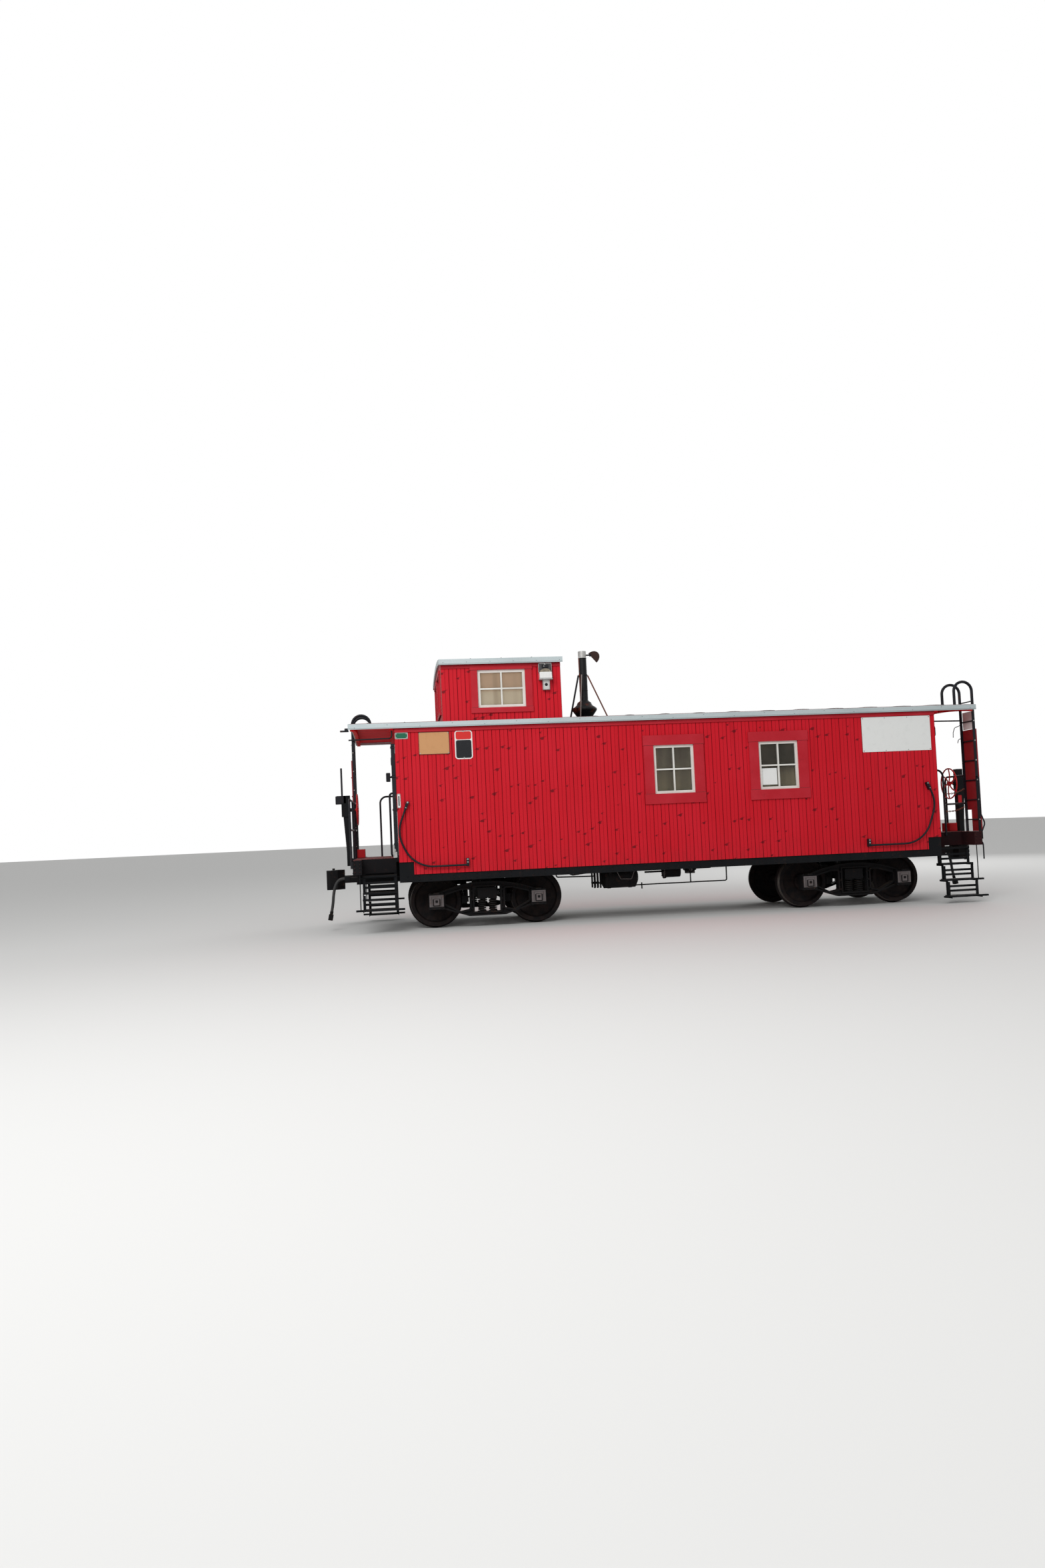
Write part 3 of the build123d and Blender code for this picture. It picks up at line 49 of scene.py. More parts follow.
class Wire:  # one output socket of a node tree, with arithmetic
    __add__, __radd__ = maths("ADD"), maths("ADD", True)
    __sub__, __rsub__ = maths("SUBTRACT"), maths("SUBTRACT", True)
    __mul__, __rmul__ = maths("MULTIPLY"), maths("MULTIPLY", True)
    __truediv__, __pow__ = maths("DIVIDE"), maths("POWER")
    top, low, size, floor = maths("MAXIMUM"), maths("MINIMUM"), maths("ABSOLUTE"), maths("FLOOR")

    def __init__(self, sheet, socket):
        self.sheet = sheet
        self.socket = socket

    def fraction(self):
        return self - self.floor()

    def ramp(self, start, end):  # 0 at start, 1 at end, smooth between
        return self.sheet.node("ShaderNodeMapRange", {"Value": self, "From Min": start, "From Max": end},
                               interpolation_type="SMOOTHSTEP")


class Sheet:  # one node tree, of a new material unless a tree is given
    def __init__(self, name="", tree=None):
        if tree is None:
            self.material = bpy.data.materials.new(name)
            self.material.use_nodes = True
            tree = self.material.node_tree
            self.shader = tree.nodes["Principled BSDF"]
        self.tree = tree

    def node(self, kind, sockets=None, output=0, **settings):
        made = self.tree.nodes.new(kind)
        for key, value in settings.items():
            setattr(made, key, value)
        self.fill(made, sockets or {})
        return Wire(self, made.outputs[output])

    def fill(self, node, sockets):  # each input from a wire or with a plain value
        for key, value in sockets.items():
            if isinstance(value, Wire):
                self.tree.links.new(value.socket, node.inputs[key])
            else:
                node.inputs[key].default_value = value

    def place(self):  # where the point is, in metres
        return self.node("ShaderNodeTexCoord", output="Object")

    def axes(self, place=None):
        place = place or self.place()
        return [self.node("ShaderNodeSeparateXYZ", {0: place}, i) for i in range(3)]

    def vector(self, x, y, z=0.0):
        return self.node("ShaderNodeCombineXYZ", {0: x, 1: y, 2: z})

    def up(self):  # 1 on a face that looks up, -1 on one that looks down
        return self.axes(self.node("ShaderNodeNewGeometry", output="Normal"))[2]

    def noise(self, scale, detail=4.0, stretch=(1, 1, 1), rough=0.55, place=None, warp=0.0):
        stretched = self.node("ShaderNodeVectorMath", {0: place or self.place(), 1: stretch}, operation="MULTIPLY")
        sockets = {"Vector": stretched, "Scale": scale, "Detail": detail, "Roughness": rough, "Distortion": warp}
        return self.node("ShaderNodeTexNoise", sockets, noise_dimensions="3D")

    def chance(self, value):  # the same random number wherever value is the same
        return self.node("ShaderNodeTexWhiteNoise", {"W": value}, noise_dimensions="1D")

    def mix(self, share, first, second):
        return self.node("ShaderNodeMix", {"Factor": share, 6: paint(first), 7: paint(second)}, 2, data_type="RGBA")

    def layers(self, colour, *coats):  # colour with coats over it in turn, each as its share and its colour
        for share, coat in coats:
            colour = self.mix(share, colour, coat)
        return colour

    def finish(self, colour, rough, height=None, depth=0.0, shine=0.5, metal=0.0, alpha=1.0):
        if height is not None:
            bump = {"Height": height, "Distance": depth, "Strength": 1.0}
            self.fill(self.shader, {"Normal": self.node("ShaderNodeBump", bump)})
        self.fill(self.shader, {"Base Color": paint(colour), "Roughness": rough, "Specular IOR Level": shine,
                                "Metallic": metal, "Alpha": alpha})
        return self.material


def paint(value):  # a colour for a node, given as on a screen, 0 to 255, or as linear light up to 1
    if isinstance(value, tuple) and len(value) == 3:
        if max(value) > 1:
            value = tuple(((c / 255 + 0.055) / 1.055) ** 2.4 if c > 10 else c / 255 / 12.92 for c in value)
        return (*value, 1.0)
    return value


sidingLook = {"paint": (196, 14, 32), "faded": (204, 26, 44), "deep": (150, 8, 22), "line": (104, 8, 18),
              "knot": (108, 4, 18), "grime": (96, 34, 34), "wear": (150, 100, 96), "lining": (196, 184, 150),
              "liningWorn": (170, 156, 122), "liningLine": (120, 104, 78), "boardSpread": 0.45, "sillDirt": 0.25,
              "knotShare": 0.5, "knotRadius": 0.030, "knotCells": (7.65, 2.3), "groove": 0.006}


def sidingMaterial(name, axis, start, pitch):  # grooved red boards side by side along axis, one every pitch
    look = sidingLook
    s = Sheet(name)
    x, y, z = s.axes()
    run = (x, y)[axis]
    board = ((run - start) / pitch).floor()
    fromCentre = ((run - start) / pitch - board - 0.5).size()
    tone = s.chance(board)
    shifted = s.vector(run, tone * 7.0, z)
    grain = s.noise(16.0, 5.0, (9, 1, 0.7), 0.6, shifted, 0.6)
    streak = s.noise(1.6, 4.0, (5, 1, 0.35), 0.6, shifted)
    patch = s.noise(0.9, 3.0)
    groove = fromCentre.ramp(0.5 - look["groove"] / pitch, 0.5 - 0.002 / pitch)
    bead = fromCentre.ramp(0.0055 / pitch, 0.002 / pitch)
    wobble = s.noise(26.0, 3.0)
    cells = [place * scale for place, scale in zip((run, z), look["knotCells"])]
    flat = s.vector(*cells)
    tint, seed = (s.node("ShaderNodeTexVoronoi", {"Vector": flat, "Scale": 1.0}, o, voronoi_dimensions="2D")
                  for o in ("Color", "Position"))
    centre = s.axes(seed)
    has, wide = (s.node("ShaderNodeSeparateColor", {0: tint}, i) for i in (0, 1))
    dx, dz = ((cells[i] - centre[i]) / look["knotCells"][i] + (wobble - 0.5) * 0.03 for i in (0, 1))
    spread = (dx * dx + dz * dz * 1.6) ** 0.5
    radius = look["knotRadius"] * (0.45 + wide * 0.75)
    has = has.ramp(look["knotShare"] + 0.02, look["knotShare"])
    knot = (spread / radius).ramp(1.15, 0.55) * has
    slope = dz - 0.012 - dx * 0.35
    lash = ((dx * dx * 0.12 + slope * slope * 5.0) ** 0.5 / radius).ramp(0.9, 0.4) * has
    splash = z.ramp(1.35, 0.9) * s.noise(6.0, 5.0, (2, 2, 0.6)).ramp(0.35, 0.75)
    wear = s.noise(11.0, 6.0, (2.5, 2.5, 0.5)).ramp(0.72, 0.80) * z.ramp(2.0, 0.95)
    colour = s.layers(look["paint"], (patch.ramp(0.35, 0.7) * 0.45 + tone * look["boardSpread"] * 0.6, look["faded"]),
                      (streak.ramp(0.55, 0.85) * 0.5, look["deep"]), (grain.ramp(0.60, 0.8) * 0.35, look["deep"]),
                      ((knot + lash * 0.7).low(1.0) * 0.9, look["knot"]), (splash * look["sillDirt"], look["grime"]),
                      (wear * 0.35, look["wear"]), ((groove * 0.95 + bead * 0.5).low(1.0), look["line"]))
    if axis == 0:
        inside = y.size().ramp(1.374, 1.370)
    else:
        upstairs = z.ramp(3.30, 3.31)
        inside = (x + 2.810).size().ramp(0.955, 0.950) * upstairs + x.size().ramp(4.545, 4.540) * (1.0 - upstairs)
    lining = s.layers(look["lining"], (patch.ramp(0.35, 0.7), look["liningWorn"]),
                      (groove * 0.8 + streak.ramp(0.6, 0.85) * 0.3, look["liningLine"]))
    relief = grain * 0.5 + streak * 0.6 - groove * 1.5
    return s.finish(s.mix(inside, colour, lining), 0.48 + 0.2 * patch + 0.1 * wear, relief, 0.0016, 0.18)


def boardMaterial(name, base, faded, dirt, grainAxis, rough=0.5, dirtAmount=0.35):
    s = Sheet(name)
    stretch = [9, 9, 9]
    stretch[grainAxis] = 0.8
    grain = s.noise(9.0, 5.0, tuple(stretch), 0.6, None, 0.5)
    patch = s.noise(2.2, 4.0)
    colour = s.layers(base, (patch.ramp(0.35, 0.7) * 0.7, faded), (grain.ramp(0.58, 0.78) * 0.35, dirt),
                      (s.noise(7.0, 6.0).ramp(0.6, 0.8) * dirtAmount, dirt))
    return s.finish(colour, rough + 0.2 * patch, grain, 0.0012, 0.25)


def metalPaint(name, base, worn, rust, rough=0.45, rustAmount=0.3, dust=0.4, relief=0.0008, coarse=1.0, shine=0.12):
    s = Sheet(name)
    patch = s.noise(3.0 / coarse, 5.0)
    fine = s.noise(38.0 / coarse, 5.0)
    spots = s.noise(14.0 / coarse, 7.0, rough=0.7).ramp(0.56, 0.66) * patch.ramp(0.4, 0.62)
    runs = s.noise(12.0, 4.0, (3, 3, 0.25)).ramp(0.55, 0.8) * 0.5
    dusty = s.up().ramp(0.35, 0.95) * s.noise(8.0, 5.0).ramp(0.25, 0.75) * dust
    colour = s.layers(base, (patch.ramp(0.3, 0.75) * 0.6, worn),
                      ((spots * rustAmount * 2.2 + runs * rustAmount).low(1.0), rust), (dusty, (112, 98, 84)))
    rough = (rough + 0.25 * spots + 0.3 * dusty + 0.12 * fine).low(0.95)
    return s.finish(colour, rough, fine + spots * 0.6, relief, shine)


def plainDetail(name, base, second, rough, metal=0.0):
    s = Sheet(name)
    fine = s.noise(30.0, 5.0)
    patch = s.noise(30.0 / 9, 3.0)
    colour = s.mix(fine.ramp(0.35, 0.7) * 0.5 + patch.ramp(0.4, 0.7) * 0.4, base, second)
    return s.finish(colour, rough + 0.15 * fine, fine, 0.0004, metal=metal)


# under and bow are lightened to stand in for bounce light from the floor: painted light
roofPaint = {"under": (232, 28, 42), "underWorn": (196, 22, 34), "gap": (60, 12, 14), "bow": (214, 84, 58),
             "sheet": (70, 70, 72), "sheetWorn": (96, 92, 88), "stain": (108, 82, 64), "board": 0.085}


def roofMaterial(name):  # dark sheet above, red boards below the overhangs, the end bows orange-red; the boards and the bows are lightened as painted bounce light
    s, look = Sheet(name), roofPaint
    x, y, _ = s.axes()
    board = (y / look["board"]).floor()
    offset = y / look["board"] - board - 0.5
    gap = offset * offset * 4.0
    grain = s.noise(10.0, 5.0, (0.7, 8, 8), 0.6, None, 0.5)
    patch = s.noise(1.3, 5.0)
    share = s.up().ramp(0.05, 0.3)
    # the underside colour and the end bows' colour carry painted bounce light
    under = s.layers(look["under"], (s.chance(board) * 0.5 + grain.ramp(0.5, 0.8) * 0.4, look["underWorn"]),
                     (gap.ramp(0.86, 0.97) * 0.85, look["gap"]),
                     (x.size().ramp(5.245, 5.25) * grain.ramp(0.3, 0.6) * 0.8, look["bow"]))
    over = s.layers(look["sheet"], (patch.ramp(0.35, 0.65) * 0.7, look["sheetWorn"]),
                    (s.noise(5.0, 6.0, (1, 0.3, 1)).ramp(0.5, 0.75) * 0.4, look["stain"]))
    relief = grain * 0.6 - gap.ramp(0.9, 0.99) * (1.0 - share)
    return s.finish(s.mix(share, under, over), 0.55 + 0.25 * patch, relief, 0.0022, 0.12)


deckPaint = {"deck": (118, 34, 34), "deckWorn": (92, 44, 38), "deckGrain": (58, 30, 26), "gap": (26, 14, 14),
             "beam": (26, 15, 18), "beamWorn": (44, 18, 20), "leftBeam": (11, 13, 16), "leftWorn": (22, 20, 22),
             "rust": (70, 40, 34), "box": (176, 32, 38), "boxWorn": (140, 28, 32), "plank": 0.118}


def platformMaterial(name):  # dark end beams, red-brown deck planks across the car, a red foot box
    s, look = Sheet(name), deckPaint
    x, _, z = s.axes()
    up = s.up()
    plank = (x / look["plank"]).floor()
    gap = (x / look["plank"] - plank - 0.5).size().ramp(0.455, 0.49)
    grain = s.noise(12.0, 5.0, (9, 0.7, 9), 0.6, None, 0.4)
    patch = s.noise(2.6, 5.0)
    worn = patch.ramp(0.35, 0.65)
    deck = s.layers(look["deck"], (s.chance(plank) * 0.6 + patch.ramp(0.4, 0.7) * 0.4, look["deckWorn"]),
                    (grain.ramp(0.55, 0.8) * 0.6, look["deckGrain"]), (gap * 0.85, look["gap"]))
    box = s.mix(grain.ramp(0.5, 0.8), look["box"], look["boxWorn"])
    colour = s.layers(look["beam"], (worn, look["beamWorn"]),
                      (x.ramp(1.0, -1.0), s.mix(worn, look["leftBeam"], look["leftWorn"])),
                      (s.noise(11.0, 6.0, (1, 1, 0.4), 0.7).ramp(0.58, 0.72) * 0.45, look["rust"]),
                      (up.ramp(0.5, 0.9) * z.ramp(1.205, 1.195), deck), (z.ramp(1.194, 1.199), box))
    return s.finish(colour, 0.6 + 0.2 * patch, grain * 0.5 - gap * up.ramp(0.5, 0.9), 0.002, 0.12)


def lensMaterial(name):  # moulded clear cover over a bright tube
    s = Sheet(name)
    prism = (s.axes()[0] / 0.014).fraction().ramp(0.2, 0.6)
    fine = s.noise(40.0, 4.0)
    colour = s.mix(prism * 0.4 + fine * 0.2, (238, 238, 234), (206, 208, 208))
    return s.finish(colour, 0.25 + 0.1 * fine, prism, 0.002)


def galvanisedMaterial(name):  # spangled sheet with a darker lip along each eave's foot
    s = Sheet(name)
    z = s.axes()[2]
    spangle = s.node("ShaderNodeTexVoronoi", {"Vector": s.place(), "Scale": 70.0}, "Color")
    grey = s.node("ShaderNodeSeparateColor", {0: spangle})
    patch = s.noise(1.4, 4.0, (0.5, 1, 1))
    drip = s.noise(12.0, 5.0, (2, 2, 0.3)).ramp(0.62, 0.85)
    lip = (z - 3.283).size().ramp(0.010, 0.004) + (z - 4.283).size().ramp(0.010, 0.004)
    colour = s.layers((186, 197, 199), (grey * 0.12 + patch.ramp(0.35, 0.7) * 0.5, (160, 171, 173)),
                      (drip * 0.22, (132, 124, 116)), (lip * 0.5, (120, 126, 128)))
    return s.finish(colour, 0.45 + 0.12 * grey, patch + lip * 0.4, 0.0008, 0.4, 0.15)


def wheelMaterial(name):  # dark castings, worn bright where the tread runs
    s = Sheet(name)
    x, y, z = s.axes()
    side = y.size()
    along = (x.size() - truck["centre"]).size() - truck["axle"]
    reach = (along * along + (z - truck["height"]) * (z - truck["height"])) ** 0.5
    tread = side.ramp(0.714, 0.722) * side.ramp(0.816, 0.810) * reach.ramp(0.400, 0.412)
    rust = s.noise(9.0, 7.0, rough=0.65)
    fine = s.noise(60.0, 5.0)
    colour = s.layers((16, 15, 17), (rust.ramp(0.35, 0.65), (36, 28, 26)), (fine.ramp(0.6, 0.8) * 0.5, (12, 12, 13)),
                      (tread * 0.35, (150, 140, 132)))
    return s.finish(colour, 0.72 - 0.25 * tread, fine + rust, 0.0012, 0.12, 0.5 * tread)


# rust colours the rust and also the painted reddish highlight down the pipe's left edge
pipePaint = {"black": (15, 15, 17), "rust": (128, 62, 44), "bare": (204, 204, 202), "bareDull": (150, 148, 144),
             "flap": (78, 54, 46), "flapDark": (52, 38, 36), "bareFoot": 4.606, "centre": -1.148}


def pipeMaterial(name):  # black stove pipe with rust and a painted reddish highlight down its left side, rust on its collar, bare at the top
    s, look = Sheet(name), pipePaint
    x, _, z = s.axes()
    bare = z.ramp(look["bareFoot"], look["bareFoot"] + 0.006)
    # the band down the left edge, placed where the camera sees it, is partly rust and partly a painted reddish
    # highlight
    rustAndRedSheen = (x - look["centre"]).ramp(-0.058, -0.071) * s.noise(9.0, 6.0).ramp(0.35, 0.5) * z.ramp(3.7, 3.9)
    flap = (x + 1.065).ramp(0.0, 0.004) * z.ramp(4.52, 4.53)
    fine = s.noise(30.0, 5.0)
    rustAndRedSheen = rustAndRedSheen.top(z.ramp(3.60, 3.66) * z.ramp(3.80, 3.70) * s.noise(7.0, 6.0).ramp(0.50, 0.62) * 0.8)
    colour = s.layers(look["black"], (rustAndRedSheen * 0.85, look["rust"]),
                      (bare, s.mix(fine, look["bare"], look["bareDull"])),
                      (flap, s.mix(fine.ramp(0.4, 0.6), look["flap"], look["flapDark"])))
    seam = ((z - 3.9) / 0.43).fraction().ramp(0.03, 0.0)
    return s.finish(colour, 0.45 + 0.3 * rustAndRedSheen + 0.12 * fine, fine * 0.4 + seam, 0.0015, 0.2, bare * 0.5)


def lampMaterial(name):  # black housing, a ribbed lens below it and a pale sensor
    s = Sheet(name)
    x, _, z = s.axes()
    lens = z.ramp(3.990, 3.993) * z.ramp(4.106, 4.103)
    sensor = z.ramp(3.990, 3.988)
    fine = s.noise(40.0, 4.0)
    prism = (x / 0.012).fraction().ramp(0.2, 0.6)
    colour = s.layers((30, 30, 32), (fine * 0.5, (54, 52, 52)),
                      (lens, s.mix(prism * 0.35, (236, 238, 236), (196, 200, 202))),
                      (sensor, s.mix(fine, (206, 206, 204), (184, 184, 180))))
    return s.finish(colour, 0.4 - 0.2 * lens, prism * lens + fine * 0.1, 0.002)


def rubberMaterial(name):
    s = Sheet(name)
    fine = s.noise(70.0, 4.0)
    sockets = {"Vector": s.place(), "Scale": 32.0, "Distortion": 0.4}
    rib = s.node("ShaderNodeTexWave", sockets, wave_type="BANDS", bands_direction="Z")
    dust = s.noise(9.0, 5.0).ramp(0.45, 0.8)
    colour = s.mix(dust * 0.5, (26, 26, 27), (84, 76, 68))
    return s.finish(colour, 0.62 + 0.2 * dust, rib * 0.5 + fine * 0.3, 0.0008)


# paintedReflection is a painted reflection on the glass; warmCorner is painted light
# upper and upperFoot are lightened as painted light behind the glass; upperFold, fold and dimCorner are painted shade;
# lower is painted dim as the cabin's shade
curtainLook = {"upper": (240, 206, 174), "upperFoot": (252, 236, 206), "upperFold": (190, 164, 136),
               "lower": (118, 111, 98), "lowerFoot": (148, 139, 116), "paintedReflection": (158, 150, 130), "fold": (84, 80, 72),
               "dimCorner": (66, 64, 58), "warmCorner": (166, 138, 104)}


def clothMaterial(name):  # tan curtains in the cupola, lightened as painted light, with painted shade in their folds; in the cabin painted dim as painted shade
    s, look = Sheet(name), curtainLook
    x, _, z = s.axes()
    fold = s.noise(5.0, 1.0, (1, 1, 0.05))
    high = z.ramp(2.3, 2.5)
    paintedReflection = s.noise(1.9, 3.0, (1.4, 1.4, 0.7)).ramp(0.45, 0.65) * 0.5
    # the cupola curtains: painted light towards their foot, painted shade in their folds
    upper = s.layers(look["upper"], (z.ramp(3.90, 3.80), look["upperFoot"]),
                     (fold.ramp(0.45, 0.75) * 0.5, look["upperFold"]))
    # the cabin curtains: dim as painted shade, lighter towards the foot, painted reflections, painted shade in the
    # folds and over the upper part of the right window, and painted light in the upper left corner of the left window
    lower = s.layers(look["lower"], (z.ramp(2.62, 2.12), look["lowerFoot"]), (paintedReflection, look["paintedReflection"]),
                     (fold.ramp(0.4, 0.7) * 0.45, look["fold"]), (x.ramp(0.6, 1.2) * high * 0.7, look["dimCorner"]),
                     (x.ramp(-0.24, -0.31) * high * 0.5, look["warmCorner"]))
    return s.finish(s.mix(z.ramp(3.2, 3.3), lower, upper), 0.85, fold, 0.004, 0.1)


def glassMaterial(name):
    s = Sheet(name)
    facing = s.node("ShaderNodeLayerWeight", {"Blend": 0.3}, "Facing")
    wave = s.noise(2.2, 2.0)
    s.material.blend_method = "BLEND"
    alpha = (0.03 + 0.22 * facing + 0.02 * wave).low(0.95)
    return s.finish((0.11, 0.12, 0.12), 0.05, wave, 0.003, alpha=alpha)


def signMaterial(name, base, second, rough=0.4):  # blank painted plates, a little scuffed
    s = Sheet(name)
    scuff = s.noise(9.0, 6.0, rough=0.65)
    colour = s.mix(scuff.ramp(0.5, 0.8) * 0.5, base, second)
    return s.finish(colour, rough + 0.2 * scuff, scuff, 0.0006, 0.25)


redTrim = ((176, 20, 36), (186, 38, 52), (104, 14, 26))
materials = {
    "sidingSide": sidingMaterial("sidingSide", 0, -4.575, 0.130714),
    "sidingEnd": sidingMaterial("sidingEnd", 1, -1.33, 0.133),
    "trim": boardMaterial("trimRed", *redTrim, 2),
    "sill": boardMaterial("sillRed", *redTrim, 0),
    "door": boardMaterial("doorRed", (178, 16, 32), (190, 34, 46), (92, 20, 26), 2),
    "sash": boardMaterial("sashWhite", (226, 226, 220), (206, 204, 196), (158, 150, 140), 2, 0.45, 0.25),
    "floor": boardMaterial("floorBoards", (112, 92, 74), (134, 112, 90), (70, 56, 46), 0, 0.7),
    "glass": glassMaterial("windowGlass"),
    "blind": clothMaterial("blindCloth"),
    "galvanised": galvanisedMaterial("galvanised"),
    "roof": roofMaterial("roofSheet"),
    "platform": platformMaterial("platformPaint"),
    "wheel": wheelMaterial("wheelSteel"),
    "pipe": pipeMaterial("stovePipe"),
    "rubber": rubberMaterial("hoseRubber"),
    "lamp": lampMaterial("lampPlastic"),
    "lens": lensMaterial("lampLens"),
    "steel": plainDetail("plainSteel", (176, 176, 174), (120, 116, 112), 0.35, 0.6),
    "dark": plainDetail("darkGap", (26, 22, 22), (44, 40, 38), 0.6),
    "reflector": plainDetail("lampReflector", (150, 138, 118), (96, 90, 80), 0.3, 0.4),
    "green": signMaterial("signGreen", (24, 96, 70), (48, 112, 88)),
    "tan": signMaterial("signTan", (196, 146, 100), (176, 126, 86), 0.5),
    "white": signMaterial("signWhite", (228, 230, 228), (208, 210, 208), 0.6),
    "signBlack": signMaterial("signBlack", (18, 20, 24), (46, 46, 48)),
    "signRed": signMaterial("signRed", (206, 44, 40), (184, 52, 48)),
}
paintedMetals = {  # base, worn and rust colours, then what metalPaint takes from rough on
    "black": ("blackSteel", (9, 11, 14), (18, 20, 23), (58, 40, 34), 0.5, 0.2, 0.22),
    "railing": ("railingBlack", (12, 13, 20), (28, 29, 36), (96, 52, 44), 0.4, 0.18, 0.12, 0.0008, 1.0, 0.2),
    "oxide": ("oxideSteel", (146, 30, 36), (112, 26, 30), (56, 24, 22), 0.5, 0.3, 0.2, 0.0008, 1.0, 0.25),
    "redIron": ("redIron", (196, 24, 32), (170, 34, 36), (70, 24, 22), 0.42, 0.3, 0.2, 0.0008, 1.0, 0.3),
    "cast": ("castBlack", (12, 12, 14), (24, 22, 22), (66, 46, 38), 0.6, 0.3, 0.25, 0.0025, 0.8),
    "lid": ("journalLid", (104, 98, 98), (80, 74, 74), (96, 72, 58), 0.6, 0.4, 0.3, 0.002, 0.6),
    "seam": ("roofSeam", (66, 66, 68), (88, 85, 82), (104, 80, 64), 0.6, 0.3, 0.2),
    "rust": ("rustyRod", (128, 78, 66), (96, 58, 48), (64, 40, 34), 0.6, 0.5, 0.2),
    "stay": ("barSteel", (156, 146, 142), (128, 112, 106), (120, 82, 68), 0.5, 0.4, 0.1),
    "flap": ("flapSteel", (62, 44, 40), (48, 36, 34), (104, 66, 50), 0.6, 0.4, 0.1, 0.0008, 0.5),
}
materials.update({look: metalPaint(*values) for look, values in paintedMetals.items()})
print("stage: materials", len(materials))

nodeLooks = {  # a star stands for left and for right
    "sidingSide": ("side_wall_near", "side_wall_far", "cupola_side_walls"),
    "sidingEnd": ("end_wall_*", "cupola_end_walls"),
    "trim": ("window_trim",),
    "door": ("door_*",),
    "sash": ("window_sashes",),
    "glass": ("window_glass", "door_glass_*"),
    "blind": ("window_blinds",),
    "galvanised": ("roof_edges", "cupola_edges"),
    "roof": ("roof_*", "cupola_roof"),
    "floor": ("floor",),
    "black": ("side_sills", "centre_sill", "cross_members", "steps_*", "brake_stand_*", "train_pipe"),
    "railing": ("end_railing_*", "ladder_*", "grab_irons"),
    "platform": ("platform_*",),
    "oxide": ("ladder_boards_*",),
    "redIron": ("brake_wheel_*",),
    "cast": ("truck_*_side_frames", "truck_*_bolster", "truck_*_brakes", "coupler_*", "hose_fitting_*",
             "air_brake_gear"),
    "wheel": ("wheelset_1", "wheelset_2", "wheelset_3", "wheelset_4"),
    "pipe": ("smoke_jack",),
    "lamp": ("cupola_lamp",),
}
for look, names in nodeLooks.items():
    for name in names:
        for endName in ("left", "right"):
            nodes[name.replace("*", endName)].material_slots[0].material = materials[look]


def newObject(name, data):
    made = bpy.data.objects.new(name, data)
    bpy.context.collection.objects.link(made)
    return made


def addPiece(name, mesh, look, body="car_body"):
    piece = newObject(name, mesh)
    mesh.materials.clear()
    mesh.materials.append(materials[look])
    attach(piece, body)
    return piece


def meshOf(bm, name):
    mesh = bpy.data.meshes.new(name)
    bm.to_mesh(mesh)
    bm.free()
    return mesh


def box(x, y, z):  # low and high corner from the ends of a box along each axis, in either order
    return tuple(zip(*(sorted(span) for span in (x, y, z))))


def bevelled(boxes, bevel):  # one mesh of boxes with rounded edges
    bm = bmesh.new()
    for low, high in boxes:
        made = bmesh.ops.create_cube(bm, size=1.0)["verts"]
        for v in made:
            v.co = Vector([(low[i] + high[i]) / 2 + v.co[i] * (high[i] - low[i]) for i in range(3)])
    if bevel:
        bmesh.ops.bevel(bm, geom=list(bm.edges), offset=bevel, segments=2, affect="EDGES", clamp_overlap=True)
    bmesh.ops.recalc_face_normals(bm, faces=bm.faces)
    return meshOf(bm, "boxes")


def addBoxes(name, boxes, look, bevel=0.003, body="car_body"):
    return addPiece(name, bevelled(boxes, bevel), look, body)


def socketOf(group, label):
    return next(i for i in group.interface.items_tree if i.name == label and i.in_out == "INPUT").identifier


def newGroup(name, **inputs):  # a Geometry Nodes group with named inputs, its sheet and the inputs' wires
    group = bpy.data.node_groups.new(name, "GeometryNodeTree")
    for label, kind in {"Geometry": "Geometry", "Material": "Material", **inputs}.items():
        group.interface.new_socket(name=label, in_out="INPUT", socket_type="NodeSocket" + kind)
    group.interface.new_socket(name="Geometry", in_out="OUTPUT", socket_type="NodeSocketGeometry")
    g = Sheet(tree=group)
    return group, g, {o.name: Wire(g, o) for o in group.nodes.new("NodeGroupInput").outputs if o.name}


def closeGroup(group, g, wire, geometry):
    real = g.node("GeometryNodeRealizeInstances", {0: geometry})
    painted = g.node("GeometryNodeSetMaterial", {"Geometry": real, "Material": wire["Material"]})
    group.links.new(painted.socket, group.nodes.new("NodeGroupOutput").inputs[0])
    return group


def bake(name, data, group, values, body, look):  # runs the group once and keeps the plain mesh
    holder = newObject(name + "Holder", data)
    modifier = holder.modifiers.new("build", "NODES")
    modifier.node_group = group
    for label, value in values.items():
        modifier[socketOf(group, label)] = value
    modifier[socketOf(group, "Material")] = materials[look]
    mesh = bpy.data.meshes.new_from_object(holder.evaluated_get(bpy.context.evaluated_depsgraph_get()))
    holder.modifiers.remove(modifier)
    bpy.data.objects.remove(holder)
    return addPiece(name, mesh, look, body)


def copiesGroup():  # copies of a template on points, each turned by its own attribute and spun a little
    group, g, wire = newGroup("copiesOnPoints", Template="Object", Spin="Float", Seed="Int")
    info = g.node("GeometryNodeObjectInfo", {"Object": wire["Template"]}, "Geometry")
    turn = g.node("GeometryNodeInputNamedAttribute", {"Name": "turn"}, data_type="FLOAT_VECTOR")
    size = g.node("GeometryNodeInputNamedAttribute", {"Name": "size"}, data_type="FLOAT")
    sockets = {"Points": wire["Geometry"], "Instance": info, "Rotation": turn, "Scale": size}
    placed = g.node("GeometryNodeInstanceOnPoints", sockets)
    sockets = {"Min": 0.0, "Max": wire["Spin"], "Seed": wire["Seed"]}
    spin = g.node("FunctionNodeRandomValue", sockets, "Value", data_type="FLOAT")
    spun = g.node("GeometryNodeRotateInstances", {"Instances": placed, "Rotation": g.vector(0.0, 0.0, spin)})
    return closeGroup(group, g, wire, spun)


